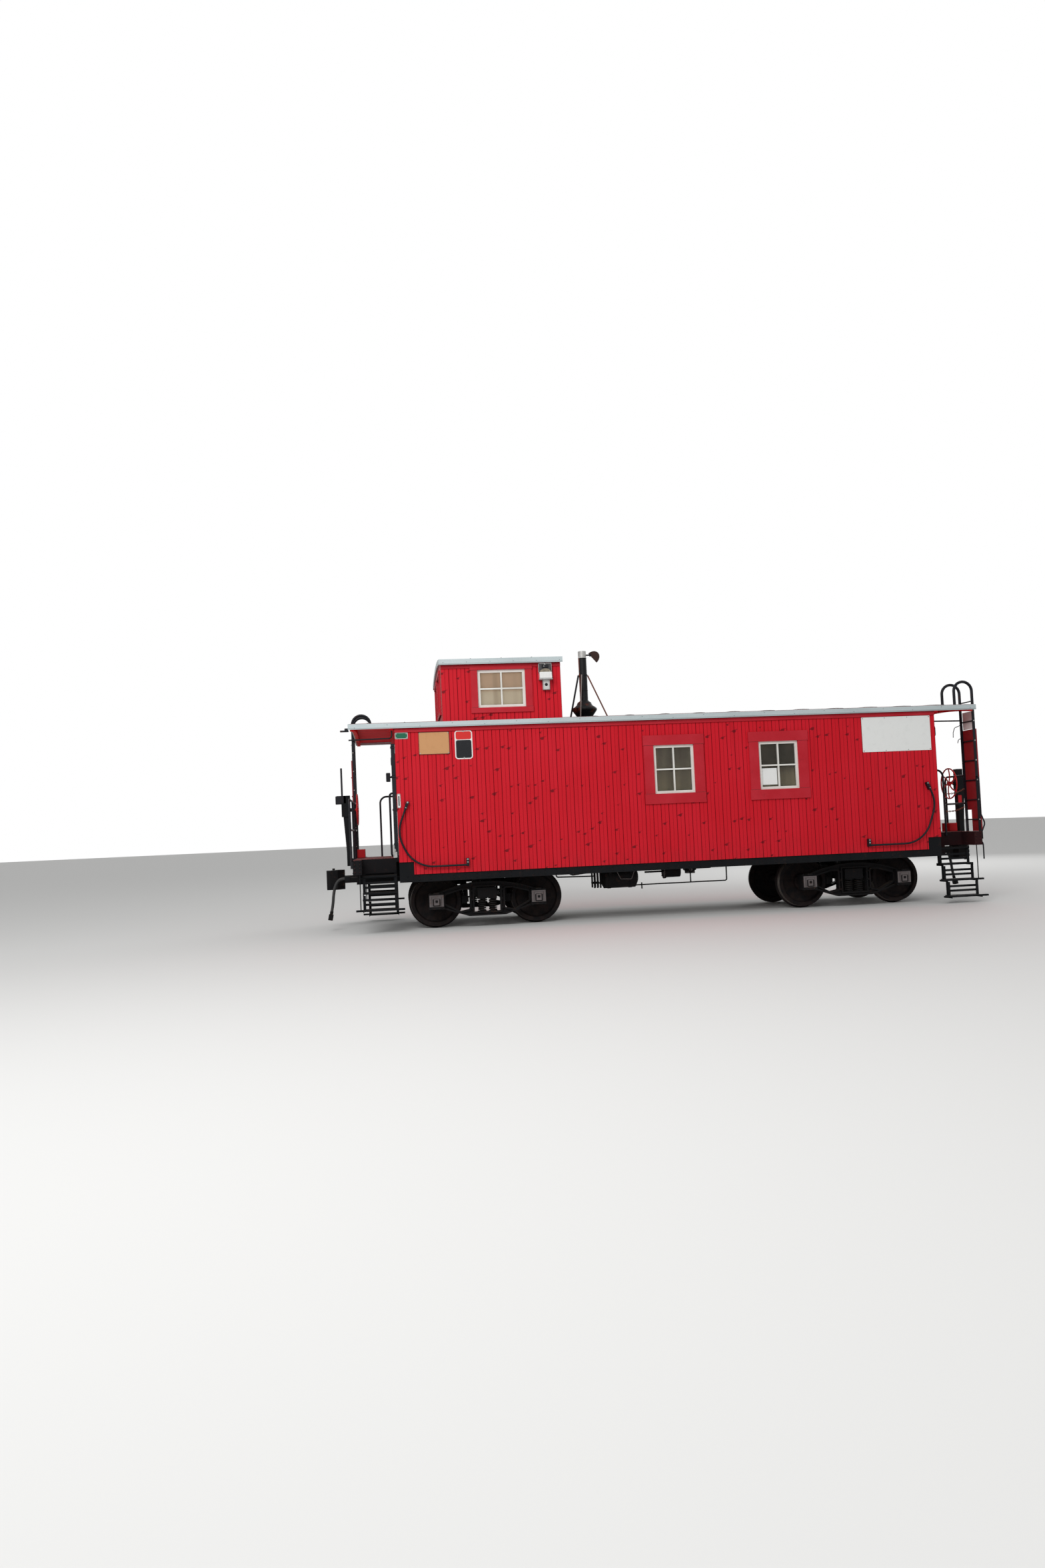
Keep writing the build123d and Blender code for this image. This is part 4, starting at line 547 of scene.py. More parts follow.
def sweep(g, line, radius, sides):  # a closed solid of round section along a curve
    ring = g.node("GeometryNodeCurvePrimitiveCircle", {"Resolution": sides, "Radius": radius}, mode="RADIUS")
    return g.node("GeometryNodeCurveToMesh", {"Curve": line, "Profile Curve": ring, "Fill Caps": True})


def tubeGroup():  # round bars along routes, with their corners rounded
    group, g, wire = newGroup("barsAlongRoutes", Radius="Float", Bend="Float", Sides="Int")
    line = g.node("GeometryNodeMeshToCurve", {0: wire["Geometry"]})
    rounded = g.node("GeometryNodeFilletCurve", {"Curve": line, "Radius": wire["Bend"], "Count": 5}, mode="POLY")
    solid = sweep(g, rounded, wire["Radius"], wire["Sides"])
    return closeGroup(group, g, wire, g.node("GeometryNodeSetShadeSmooth", {"Geometry": solid}))


copies = copiesGroup()
bars = tubeGroup()


def tubes(name, routes, radius, bend, look, sides=12):
    mesh = bpy.data.meshes.new(name + "Routes")
    points, edges = [], []
    for route in routes:
        edges += [(len(points) + i, len(points) + i + 1) for i in range(len(route) - 1)]
        points += [tuple(p) for p in route]
    mesh.from_pydata(points, edges, [])
    return bake(name, mesh, bars, {"Radius": radius, "Bend": bend, "Sides": sides}, "car_body", look)


def scatter(name, template, places, look, body="car_body", spin=6.28, seed=7):
    points, ways, sizes = zip(*places)  # places holds a point, the way its copy looks and its size
    mesh = bpy.data.meshes.new(name + "Points")
    mesh.from_pydata([tuple(p) for p in points], [], [])
    mesh.attributes.new("turn", "FLOAT_VECTOR", "POINT")
    mesh.attributes.new("size", "FLOAT", "POINT")
    turns = [angle for way in ways for angle in Vector(way).to_track_quat("Z", "Y").to_euler()]
    mesh.attributes["turn"].data.foreach_set("vector", turns)
    mesh.attributes["size"].data.foreach_set("value", sizes)
    return bake(name, mesh, copies, {"Template": template, "Spin": spin, "Seed": seed}, body, look)


def domeMesh():  # a rivet head of radius 1, flat side down
    bm = bmesh.new()
    bmesh.ops.create_uvsphere(bm, u_segments=10, v_segments=8, radius=1.0)
    bmesh.ops.delete(bm, geom=[v for v in bm.verts if v.co.z < -0.05], context="VERTS")
    for v in bm.verts:
        v.co.z *= 0.6
    for f in bm.faces:
        f.smooth = True
    return meshOf(bm, "dome")


def addCone(bm, place, radius, end, depth, sides):  # an upright round or many-sided post about place
    made = bmesh.ops.create_cone(bm, cap_ends=True, segments=sides, radius1=radius, radius2=end, depth=depth)["verts"]
    bmesh.ops.translate(bm, verts=made, vec=place)


def boltMesh():  # a hexagon head on a washer, radius 1, with the bolt's end in a nut
    bm = bmesh.new()
    for radius, low, high, sides in ((1.35, 0.0, 0.2, 14), (1.0, 0.2, 0.85, 6), (0.55, 0.85, 1.15, 10)):
        addCone(bm, (0, 0, (low + high) / 2), radius, radius * 0.96, high - low, sides)
    return meshOf(bm, "bolt")


rivet = bpy.data.objects.new("rivetTemplate", domeMesh())
bolt = bpy.data.objects.new("boltTemplate", boltMesh())

view = {"place": (-4.523, -18.251, 1.564), "yaw": 6.72, "pitch": 2.49, "roll": -2.56, "lens": 24.0}
yaw, pitch, roll = (radians(view[k]) for k in ("yaw", "pitch", "roll"))
forward = Vector((sin(yaw) * cos(pitch), cos(yaw) * cos(pitch), sin(pitch)))
right = Vector((cos(yaw), -sin(yaw), 0))
up = right.cross(forward)
across = right * cos(roll) + up * sin(roll)
above = up * cos(roll) - right * sin(roll)
camera = newObject("camera", bpy.data.cameras.new("camera"))
camera.data.lens = view["lens"]
camera.data.sensor_width = 36.0
camera.data.clip_end = 400
camera.matrix_world = Matrix([(across[i], above[i], -forward[i], view["place"][i]) for i in range(3)] + [(0, 0, 0, 1)])
bpy.context.scene.camera = camera

studio = {"sky": 0.52, "floorColour": (0.70, 0.70, 0.69),
          "lights": {"keyLight": ((-9, -16, 12), 1900.0), "fillLight": ((12, 14, 10), 700.0)}}
world = bpy.data.worlds.new("studio")
bpy.context.scene.world = world
world.use_nodes = True
w = Sheet(tree=world.node_tree)
paths = [w.node("ShaderNodeLightPath", output=o) for o in ("Is Camera Ray", "Is Glossy Ray", "Is Transmission Ray")]
seen = paths[0].top(paths[1]).top(paths[2])
backdrop = world.node_tree.nodes["Background"]
backdrop.inputs["Color"].default_value = (1, 1, 1, 1)
world.node_tree.links.new((studio["sky"] + (1.0 - studio["sky"]) * seen).socket, backdrop.inputs["Strength"])
for name, (place, power) in studio["lights"].items():
    lamp = bpy.data.lights.new(name, "AREA")
    lamp.size = 9.0
    lamp.energy = power
    held = newObject(name, lamp)
    held.location = place
    held.rotation_euler = (Vector(place) - Vector((0, 0, 2))).to_track_quat("Z", "Y").to_euler()
floorMesh = bpy.data.meshes.new("studioFloor")
floorMesh.from_pydata([(-90, -60, 0), (90, -60, 0), (90, 160, 0), (-90, 160, 0)], [], [(0, 1, 2, 3)])
floorMesh.materials.append(Sheet("studioFloor").finish(studio["floorColour"], 0.9))
studioFloor = newObject("studioFloor", floorMesh)
print("stage: camera, floor and light")

hoseLook = {"diameter": 0.048, "length": 0.642, "side": 0.360,
            "route": ((5.500, 0.872), (5.565, 0.872), (5.627, 0.820), (5.672, 0.722), (5.696, 0.592), (5.708, 0.457),
                      (5.732, 0.335))}
for endName, sign in (("right", 1), ("left", -1)):
    curve = bpy.data.curves.new(f"airHose_{endName}", "CURVE")
    curve.dimensions = "3D"
    curve.bevel_depth = hoseLook["diameter"] / 2
    curve.bevel_resolution = 6
    curve.resolution_u = 10
    curve.use_fill_caps = True
    spline = curve.splines.new("NURBS")
    spline.points.add(len(hoseLook["route"]) - 1)
    for point, (x, z) in zip(spline.points, hoseLook["route"]):
        point.co = (sign * x, sign * hoseLook["side"], z, 1)
    spline.order_u = 3
    spline.use_endpoint_u = True
    curve.materials.append(materials["rubber"])
    hose = newObject(f"airHose_{endName}", curve)
    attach(hose, "car_body")
    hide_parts(f"hose_{endName}")
print("stage: air hoses")

springLook = {"seat": 0.250, "top": 0.470, "radius": 0.056, "wire": 0.013, "turns": 5.2, "disc": 0.014, "row": 0.090,
              "side": 0.990, "discRadius": 0.074}


def springGroup():  # an outer and an inner coil on each point
    group, g, wire = newGroup("coilSprings", Radius="Float", Wire="Float", Turns="Float", Height="Float")
    joined = group.nodes.new("GeometryNodeJoinGeometry")
    for share, thick in ((1.0, 1.0), (0.52, 0.62)):
        radius = wire["Radius"] * share
        sockets = {"Resolution": 18, "Rotations": wire["Turns"] / share ** 0.7, "Start Radius": radius,
                   "End Radius": radius, "Height": wire["Height"]}
        coil = g.node("GeometryNodeCurveSpiral", sockets)
        group.links.new(sweep(g, coil, wire["Wire"] * thick, 8).socket, joined.inputs[0])
    smooth = g.node("GeometryNodeSetShadeSmooth", {"Geometry": Wire(g, joined.outputs[0])})
    placed = g.node("GeometryNodeInstanceOnPoints", {"Points": wire["Geometry"], "Instance": smooth})
    return closeGroup(group, g, wire, placed)


def discs(places, radius, thickness):  # flat round plates with a rounded rim, in one mesh
    bm = bmesh.new()
    for place in places:
        addCone(bm, place, radius, radius, thickness, 28)
    bmesh.ops.bevel(bm, geom=[e for e in bm.edges if abs(e.verts[0].co.z - e.verts[1].co.z) < 1e-6],
                    offset=thickness * 0.25, segments=2, affect="EDGES")
    return meshOf(bm, "discs")


springs = springGroup()
k = springLook
for endName, sign in (("left", -1), ("right", 1)):
    spots = [(sign * truck["centre"] + dx, dy, k["seat"] + k["disc"] + k["wire"] * 0.6)
             for dx in (-k["row"], k["row"]) for dy in (-k["side"], k["side"])]
    mesh = bpy.data.meshes.new("springPoints")
    mesh.from_pydata(spots, [], [])
    height = k["top"] - k["seat"] - 2 * k["disc"] - 1.2 * k["wire"]
    coil = bake(f"springCoils_{endName}", mesh, springs,
                {"Radius": k["radius"], "Wire": k["wire"], "Turns": k["turns"], "Height": height},
                f"truck_{endName}", "cast")
    seats = [(x, y, z) for x, y, _ in spots for z in (k["seat"] + k["disc"] / 2, k["top"] - k["disc"] / 2)]
    addPiece(f"springSeats_{endName}", discs(seats, k["discRadius"], k["disc"]), "cast", f"truck_{endName}")
    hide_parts(f"truck_{endName}_springs")
print("stage: springs")

trimLook = {"friezeHeight": 0.070, "friezeDepth": 0.022, "bodyEnd": 4.575, "side": 1.420, "cupolaSide": 1.400,
            "cupola": (-3.790, -1.830), "eave": 1.490, "seams": (-4.852, -1.857, -0.557, 1.9, 4.35),
            "fasciaFoot": 3.273, "fasciaTop": 3.355, "cupolaFoot": 4.273}
k = trimLook
frieze, laps, nails = [], [], []  # each length of the metal eave board ends in a narrow lap
for side in (-1, 1):
    eave = side * k["eave"]
    frieze += [box((-k["bodyEnd"], k["bodyEnd"]), (side * k["side"], side * (k["side"] + k["friezeDepth"])),
                   (k["fasciaFoot"] - k["friezeHeight"], k["fasciaFoot"] - 0.002)),
               box(k["cupola"], (side * k["cupolaSide"], side * (k["cupolaSide"] + 0.018)), (4.215, 4.271))]
    laps += [box((side * -x - 0.02, side * -x + 0.02), (eave - side * 0.002, eave + side * 0.0015),
                 (k["fasciaFoot"] + 0.002, k["fasciaTop"] - 0.002)) for x in k["seams"]]
    laps += [box(ends, (eave - 0.004, eave + 0.004), (foot - 0.004, foot + 0.006))
             for ends, foot in (((-5.303, 5.303), k["fasciaFoot"]), ((-3.818, -1.802), k["cupolaFoot"]))]
    nails += [((-5.2 + 0.52 * i, side * (k["eave"] + 0.001), k["fasciaFoot"] + 0.022 + 0.035 * (i % 2)),
               (0, side, 0), 0.005) for i in range(21)]
    nails += [((-3.75 + 0.38 * i, side * (k["eave"] + 0.001), 4.305), (0, side, 0), 0.005) for i in range(6)]
addBoxes("friezeBoards", frieze, "sill")
addBoxes("eaveLaps", laps, "galvanised", 0.0)
scatter("eaveNails", rivet, nails, "dark")

cornerLook = {"foot": 1.192, "top": 3.030, "straps": (1.40, 1.95, 2.48, 2.95)}  # cables down the near left corner
corner = [((-4.640, -1.424, cornerLook["foot"]), (-4.577, -1.350, cornerLook["top"]))]
corner += [((-4.648, -1.430, z), (-4.576, -1.344, z + 0.04)) for z in cornerLook["straps"]]
corner += [((-4.735, -1.06, 2.44), (-4.665, -0.98, 2.585)), ((-4.67, -1.04, 2.50), (-4.576, -1.00, 2.53))]
addBoxes("cornerConduit", corner, "railing", 0.006)
outlet = [((-4.662, -1.462, 1.205), (-4.600, -1.424, 1.300)), ((-4.645, -1.470, 1.300), (-4.618, -1.440, 1.345))]
addBoxes("cornerOutlet", outlet, "steel", 0.006)

signBoxes = {  # low and high corners of each blank plate on the near side
    "plateGreen": ("green", ((-4.564, -1.428, 3.101), (-4.361, -1.420, 3.201))),
    "plaqueTan": ("tan", ((-4.192, -1.432, 2.834), (-3.696, -1.420, 3.196))),
    "panelWhite": ("white", ((3.270, -1.429, 2.607), (4.491, -1.420, 3.198))),
    "plateSlotted": ("white", ((-4.566, -1.426, 1.994), (-4.515, -1.420, 2.222))),
}
for name, (look, span) in signBoxes.items():
    addBoxes(name, [span], look)
# a dark strip where the plate's slot is: painted shade inside the slot
slot = ((-4.549, -1.4275, 2.030), (-4.531, -1.4255, 2.186))
addBoxes("plateSlot", [slot], "dark", 0.0)


def border(sign, rim):  # four flat strips along the edges of a plate
    (x0, y, z0), (x1, _, z1) = signBoxes[sign][1]
    strips = (((x0, x1), (z0, z0 + rim)), ((x0, x1), (z1 - rim, z1)), ((x0, x0 + rim), (z0, z1)),
              ((x1 - rim, x1), (z0, z1)))
    return [box(x, (y - 0.0015, y + 0.001), z) for x, z in strips]


addBoxes("plateBorders", border("plateGreen", 0.006), "white", 0.0)
addBoxes("plaqueBorders", border("plaqueTan", 0.009), "rust", 0.0)
screws = []
for look, (low, high) in signBoxes.values():
    inset = 0.02 if high[0] - low[0] > 0.1 else 0.012
    screws += [((x, low[1], z), (0, -1, 0), 0.007) for x in (low[0] + inset, high[0] - inset)
               for z in (low[2] + inset, high[2] - inset)]
screws += [((x, -1.429, z), (0, -1, 0), 0.006) for x in (3.68, 4.08) for z in (2.627, 3.178)]
scatter("signScrews", bolt, screws, "steel")


def roundedOutline(cx, cz, width, height, radius, steps=6):
    points = []
    for sx, sz, start in ((1, 1, 0), (-1, 1, 90), (-1, -1, 180), (1, -1, 270)):
        for i in range(steps + 1):
            a = radians(start + 90 * i / steps)
            points.append((cx + sx * (width / 2 - radius) + radius * cos(a),
                           cz + sz * (height / 2 - radius) + radius * sin(a)))
    return points


def plate(outlines):  # plates facing -Y, each with its outline in x and z, its back at y and its depth
    bm = bmesh.new()
    for outline, y, depth in outlines:
        front = [bm.verts.new((x, y - depth, z)) for x, z in outline]
        back = [bm.verts.new((x, y, z)) for x, z in outline]
        bm.faces.new(front)
        bm.faces.new(list(reversed(back)))
        for i in range(len(outline)):
            j = (i + 1) % len(outline)
            bm.faces.new((front[i], back[i], back[j], front[j]))
    bmesh.ops.recalc_face_normals(bm, faces=bm.faces)
    return meshOf(bm, "plate")


k = {"x": -3.4675, "z": 2.974, "width": 0.285, "height": 0.464, "corner": 0.05, "rim": 0.036}  # the warning sign
for name, look, rise, rim, height, corner, back, depth in (
        ("signBorder", "white", 0, 0, k["height"], k["corner"], -1.420, 0.006),
        ("signField", "signBlack", -0.07, k["rim"], k["height"] - 0.176, 0.03, -1.426, 0.003),
        ("signTop", "signRed", 0.15, k["rim"], 0.128, 0.03, -1.426, 0.003)):
    outline = roundedOutline(k["x"], k["z"] + rise, k["width"] - rim, height, corner)
    addPiece(name, plate([(outline, back, depth)]), look)
scatter("signBolts", bolt, [((k["x"], -1.429, k["z"] + dz), (0, -1, 0), 0.008) for dz in (-0.212, 0.212)], "steel")
addBoxes("paperCard", [((1.498, -1.3752, 2.128), (1.762, -1.3740, 2.404))], "white", 0.0)

windows = (  # middle, foot, width and height of each opening, its boards' width and reach, and its wall's face
    (-0.006, 2.050, 0.683, 0.802, 0.165, 1.420), (1.787, 2.050, 0.683, 0.802, 0.165, 1.420),
    (-2.810, 3.565, 0.781, 0.617, 0.110, 1.400))
joints = []  # dark lines where the boards round each window meet
for side in (-1, 1):
    for centre, foot, wide, tall, post, face in windows:
        for way in (-1, 1):
            across = (centre + way * (wide / 2 + 0.002), centre + way * (wide / 2 + post - 0.002))
            joints += [box(across, (side * (face + 0.0215), side * (face + 0.0228)), (z - 0.004, z + 0.004))
                       for z in (foot, foot + tall)]
addBoxes("windowJoints", joints, "dark", 0.0)
print("stage: body trim and blank signs")

lampLook = {"x": -2.090, "face": -1.462, "wall": -1.400, "top": 4.255, "lensTop": 4.103, "lensFoot": 3.992,
            "sensor": 3.825, "sensorFace": -1.480}
k = lampLook
x, front = k["x"], k["face"] - 0.002
spans = [((s * 0.104 - 0.004, s * 0.104 + 0.004), front, (k["lensTop"], k["top"])) for s in (-1, 1)]
spans += [((-0.108, 0.108), front, (k["top"] - 0.006, k["top"] + 0.004)),
          ((-0.108, 0.108), -1.536, (k["lensFoot"] - 0.010, k["lensFoot"] + 0.004)),
          ((-0.05, 0.065), k["sensorFace"], (k["sensor"] - 0.004, k["sensor"] + 0.004)),
          ((-0.05, -0.038), k["sensorFace"], (k["sensor"], k["lensFoot"])),
          ((0.053, 0.065), k["sensorFace"], (k["sensor"], k["lensFoot"]))]
lampFrame = [box((x + low, x + high), (y, k["wall"]), z) for (low, high), y, z in spans]
addBoxes("lampFrame", lampFrame, "steel", 0.0015)
halfRound = [(x + 0.092 * cos(pi * i / 16), k["lensTop"] + 0.062 * sin(pi * i / 16)) for i in range(17)]
addPiece("lampReflector", plate([(halfRound, k["face"], 0.034)]), "reflector")
lens = ((x - 0.097, -1.5345, k["lensFoot"] + 0.010), (x + 0.097, -1.470, k["lensTop"] + 0.004))
addBoxes("lampLens", [lens], "lens", 0.012)
addBoxes("lampSocket", [((x - 0.055, -1.485, 4.175), (x + 0.055, -1.455, 4.232))], "signBlack", 0.008)
knobs = [((x, k["face"], 4.240), (0, -1, 0), 0.021), ((x - 0.02, -1.484, 4.205), (0, -1, 0), 0.010)]
scatter("lampKnob", rivet, knobs, "steel")
scatter("lampEye", rivet, [((x + 0.007, -1.474, 3.905), (0, -1, 0), 0.026)], "signBlack")
print("stage: lamp")

jackLook = {"x": -1.148, "y": 0.300, "radius": 0.073, "wall": 0.006, "foot": 3.44, "top": 4.732,
            "seams": (4.020, 4.609), "stayTop": 4.300, "stay": 0.014,
            "feet": ((-0.280, 0.0), (-0.130, -0.260), (0.470, 0.060)),
            "flap": (-0.9595, 4.609), "flapSize": (0.112, 0.145), "flapTilt": -49.0}
roofLook = {"edge": 3.355, "cupolaEdge": 4.358, "half": 1.490, "rise": 0.105, "rib": 0.008}


def archHeight(y, edge=roofLook["edge"]):  # the roof's top at y, above an eave at edge
    half, rise = roofLook["half"], roofLook["rise"]
    radius = (half ** 2 + rise ** 2) / (2 * rise)
    return edge + rise - radius + sqrt(radius * radius - y * y)


def lathe(profile, cx, cy, segments=48):  # closed ring of (radius, height) points turned about an upright axis
    bm = bmesh.new()
    rings = [[bm.verts.new((cx + r * cos(2 * pi * i / segments), cy + r * sin(2 * pi * i / segments), z))
              for i in range(segments)] for r, z in profile]
    joinRings(bm, rings)
    mesh = meshOf(bm, "turned")
    mesh.set_sharp_from_angle(angle=radians(35))
    return mesh


def joinRings(bm, rings):  # smooth faces from each ring to the next, and from the last to the first
    count = len(rings[0])
    for a, b in zip(rings, rings[1:] + rings[:1]):
        for i in range(count):
            j = (i + 1) % count
            bm.faces.new((a[i], a[j], b[j], b[i])).smooth = True
    bmesh.ops.recalc_face_normals(bm, faces=bm.faces)


k = jackLook
r, band, (px, pz) = k["radius"], k["stayTop"], k["flap"]
jackProfile = [(r + 0.075, k["foot"]), (r + 0.075, 3.555), (r + 0.078, 3.56), (r + 0.146, 3.655), (r + 0.150, 3.662),
               (r + 0.150, 3.690), (r + 0.146, 3.697), (r + 0.082, 3.742), (r + 0.066, 3.760), (r + 0.050, 3.800),
               (r + 0.006, 3.832), (r, 3.850)]
for z, swell, half in ((k["seams"][0], 0.003, 0.006), (band, 0.006, 0.015), (k["seams"][1], 0.003, 0.006)):
    edge = half + (0.004 if half < 0.01 else 0.001)
    jackProfile += [(r, z - edge), (r + swell, z - half), (r + swell, z + half), (r, z + edge)]
jackProfile += [(r, k["top"]), (r - k["wall"], k["top"]), (r - k["wall"], k["foot"])]
jack = addPiece("smokeJack", lathe(jackProfile, k["x"], k["y"]), "pipe")
feet = []
for (dx, dy), name, thick, look in zip(k["feet"], ("Left", "Front", "Right"), (1.15, 0.8, 0.9),
                                       ("railing", "stay", "rust")):
    share = (r + 0.012) / sqrt(dx * dx + dy * dy)
    fx, fy, fz = k["x"] + dx, k["y"] + dy, archHeight(k["y"] + dy) - 0.004
    feet.append(((fx - 0.04, fy - 0.025, fz), (fx + 0.04, fy + 0.025, fz + 0.012)))
    tubes("jackStay" + name, [[(fx, fy, fz), (k["x"] + dx * share, k["y"] + dy * share, band)]], k["stay"] * thick, 0.0,
          look, sides=10)
addBoxes("jackStayFeet", feet, "railing")
tilt = radians(k["flapTilt"])
flap = []
for i in range(21):
    u, v = k["flapSize"][0] * cos(pi * i / 20), k["flapSize"][1] * sin(pi * i / 20)
    flap.append((px + u * cos(tilt) - v * sin(tilt), pz + u * sin(tilt) + v * cos(tilt)))
rimmed = [(px + (x - px) * 0.9, pz + (z - pz) * 0.9) for x, z in flap]
addPiece("jackFlap", plate([(flap, k["y"] + 0.004, 0.006), (rimmed, k["y"] - 0.0005, 0.006)]), "flap")
hinge = [((-1.079, k["y"] - 0.012, 4.652), (-0.985, k["y"] + 0.012, 4.676)),
         ((-1.012, k["y"] - 0.02, 4.640), (-0.988, k["y"] + 0.02, 4.686))]
addBoxes("jackHinge", hinge, "railing")
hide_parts("smoke_jack")
print("stage: smoke jack")

rivetLook = {"beamFace": 5.310, "beamPitch": 0.17, "beam": 0.014, "corner": 0.015, "sillPitch": 0.185, "sill": 0.012}
k = rivetLook
beamRivets = []
for sign in (-1, 1):
    for side in (-1, 1):
        beamRivets += [((sign * x, side * 1.420, z), (0, side, 0), k["corner"]) for x in (5.200, 5.280)
                       for z in (0.99, 1.05, 1.11, 1.165)]
    beamRivets += [((sign * k["beamFace"], -1.36 + k["beamPitch"] * i, z), (sign, 0, 0), k["beam"])
                   for i in range(17) for z in (0.985, 1.162)]
scatter("beamRivets", rivet, beamRivets, "platform")
sillRivets = [((-4.45 + k["sillPitch"] * i, side * 1.400, z), (0, side, 0), k["sill"]) for side in (-1, 1)
              for i in range(49) for z in (0.835, 0.895)]
scatter("sillRivets", rivet, sillRivets, "black")

lidLook = {"face": 1.162,  # each slab: along, up, half length, half height, back and front
           "lids": ((0, 0.018, 0.116, 0.094, -0.002, 0.003), (0, 0.006, 0.078, 0.082, 0.007, 0.011),
                    (0, 0.0, 0.045, 0.054, 0.015, 0.019)),
           "handles": ((-0.052, 0.0, 0.010, 0.05, 0.010, 0.022), (0.052, 0.0, 0.010, 0.05, 0.010, 0.022),
                       (0, -0.055, 0.062, 0.010, 0.010, 0.022), (0, 0.012, 0.020, 0.020, 0.018, 0.030))}


def slabs(kind, x, side):  # the stepped slabs of one journal box's lid or handle
    face, z = lidLook["face"], truck["height"]
    return [box((x + dx - half, x + dx + half), (side * (face + back), side * (face + front)),
                (z + dz - tall, z + dz + tall)) for dx, dz, half, tall, back, front in lidLook[kind]]


for endName, sign in (("left", -1), ("right", 1)):
    lids, handles, frameBolts = [], [], []
    for side in (-1, 1):
        for axle in (-truck["axle"], truck["axle"]):
            x = sign * truck["centre"] + axle
            lids += slabs("lids", x, side)
            handles += slabs("handles", x, side)
            frameBolts += [((x + dx, side * 1.100, z), (0, 0, way), 0.017) for dx in (-0.095, 0.095)
                           for z, way in ((0.577, 1), (0.327, -1))]
        frameBolts += [((sign * truck["centre"] + dx, side * 1.050, z), (0, side, 0), 0.014) for dx in (-0.245, 0.245)
                       for z in (0.30, 0.45, 0.60)]
    addBoxes(f"journalLids_{endName}", lids, "lid", 0.006, f"truck_{endName}")
    addBoxes(f"lidHandles_{endName}", handles, "cast", 0.005, f"truck_{endName}")
    scatter(f"frameBolts_{endName}", bolt, frameBolts, "cast", f"truck_{endName}")
print("stage: rivets, bolts and journal lids")

ladderLook = {"plate": (0.945, 1.315, 2.957, 3.262), "face": (5.358, 5.364), "rungs": 5.339, "board": 5.377}
k = ladderLook
near, far, foot, top = k["plate"]
rungEnds, plateScrews, ladderPlates = [], [], []
# domes on the rung ends in bright steel: the rung ends, with a painted highlight in their bright colour
for sign in (-1, 1):
    for y, way in ((0.924, -1), (1.336, 1)):
        rungEnds += [((sign * k["rungs"], -sign * y, 1.39 + 0.34 * i), (0, -sign * way, 0), 0.013) for i in range(6)]
    ladderPlates.append(box((sign * k["face"][0], sign * k["face"][1]), (-sign * near, -sign * far), (foot, top)))
    plateScrews += [((sign * k["face"][1], -sign * y, z), (sign, 0, 0), 0.008) for y in (near + 0.03, far - 0.03)
                    for z in (foot + 0.028, top - 0.032)]
scatter("rungEnds", rivet, rungEnds, "steel")
addBoxes("ladderPlates", ladderPlates, "white", 0.002)
scatter("ladderPlateScrews", bolt, plateScrews, "steel")
boardBolts = [((sign * k["board"], -sign * y, 1.62 + 0.34 * i), (sign, 0, 0), 0.012) for sign in (-1, 1)
              for y in (0.955, 1.305) for i in range(4)]
scatter("ladderBoardBolts", bolt, boardBolts, "oxide")
clampBolts = []  # at the head and the foot of each grab iron on the sides
for sign in (-1, 1):
    for side in (-1, 1):
        (hx, hz), (fx, fz) = ((4.423, 2.031), (3.483, 1.083)) if sign == side else ((4.375, 2.000), (3.269, 1.083))
        clampBolts += [((sign * (hx - 0.375 * dz), side * 1.486, hz + dz), (0, side, 0), 0.011)
                       for dz in (-0.038, 0.045)]
        clampBolts += [((sign * fx, side * 1.486, fz + dz), (0, side, 0), 0.011) for dz in (0.0, 0.045)]
scatter("grabBolts", bolt, clampBolts, "steel")

rodLook = {"conduit": 0.012, "conduitBend": 0.05, "wire": 0.006, "wireBend": 0.03}
smallRods = [
    [(-5.305, -1.30, 3.118), (-4.66, -1.40, 3.118), (-4.615, -1.40, 3.118), (-4.615, -1.40, 3.24)],
    [(0.49, -0.69, 0.77), (0.75, -0.69, 0.77), (0.75, -0.30, 0.80), (1.2, -0.30, 0.85)],
    [(4.577, -1.0, 3.133), (5.310, -0.93, 3.130)],
]
smallRods += [[(sign * x, -sign * 1.27, z) for x, z in ((4.577, 3.035), (4.655, 3.035), (4.655, 2.835), (4.577, 2.835))]
              for sign in (1, -1)]
tubes("conduits", smallRods, rodLook["conduit"], rodLook["conduitBend"], "railing")
thinRods = [[(5.31, -0.93, 3.046), (5.225, -0.90, 3.010), (5.200, -0.89, 2.930), (5.195, -0.89, 2.840)],
            [(5.33, -0.93, 2.820), (5.285, -0.90, 2.800), (5.267, -0.90, 2.740)]]
tubes("ladderWires", thinRods, rodLook["wire"], rodLook["wireBend"], "railing", sides=8)
print("stage: rods and pipes")


def linkMesh(turn):  # one welded chain link of length 1, along Z, laid flat or on edge
    bm = bmesh.new()
    around, ring = 20, 8
    loops = []
    for i in range(around):
        a = 2 * pi * i / around
        c = Vector((0.26 * cos(a), 0.0, 0.26 * sin(a) + (0.24 if sin(a) > 0 else -0.24)))
        out = Vector((cos(a), 0.0, sin(a)))
        turns = [2 * pi * j / ring for j in range(ring)]
        loops.append([bm.verts.new(c + (out * cos(b) + Vector((0, 1, 0)) * sin(b)) * 0.11) for b in turns])
    joinRings(bm, loops)
    bmesh.ops.rotate(bm, verts=bm.verts, cent=(0, 0, 0), matrix=Matrix.Rotation(turn, 3, "Z"))
    bmesh.ops.recalc_face_normals(bm, faces=bm.faces)
    return meshOf(bm, "link")


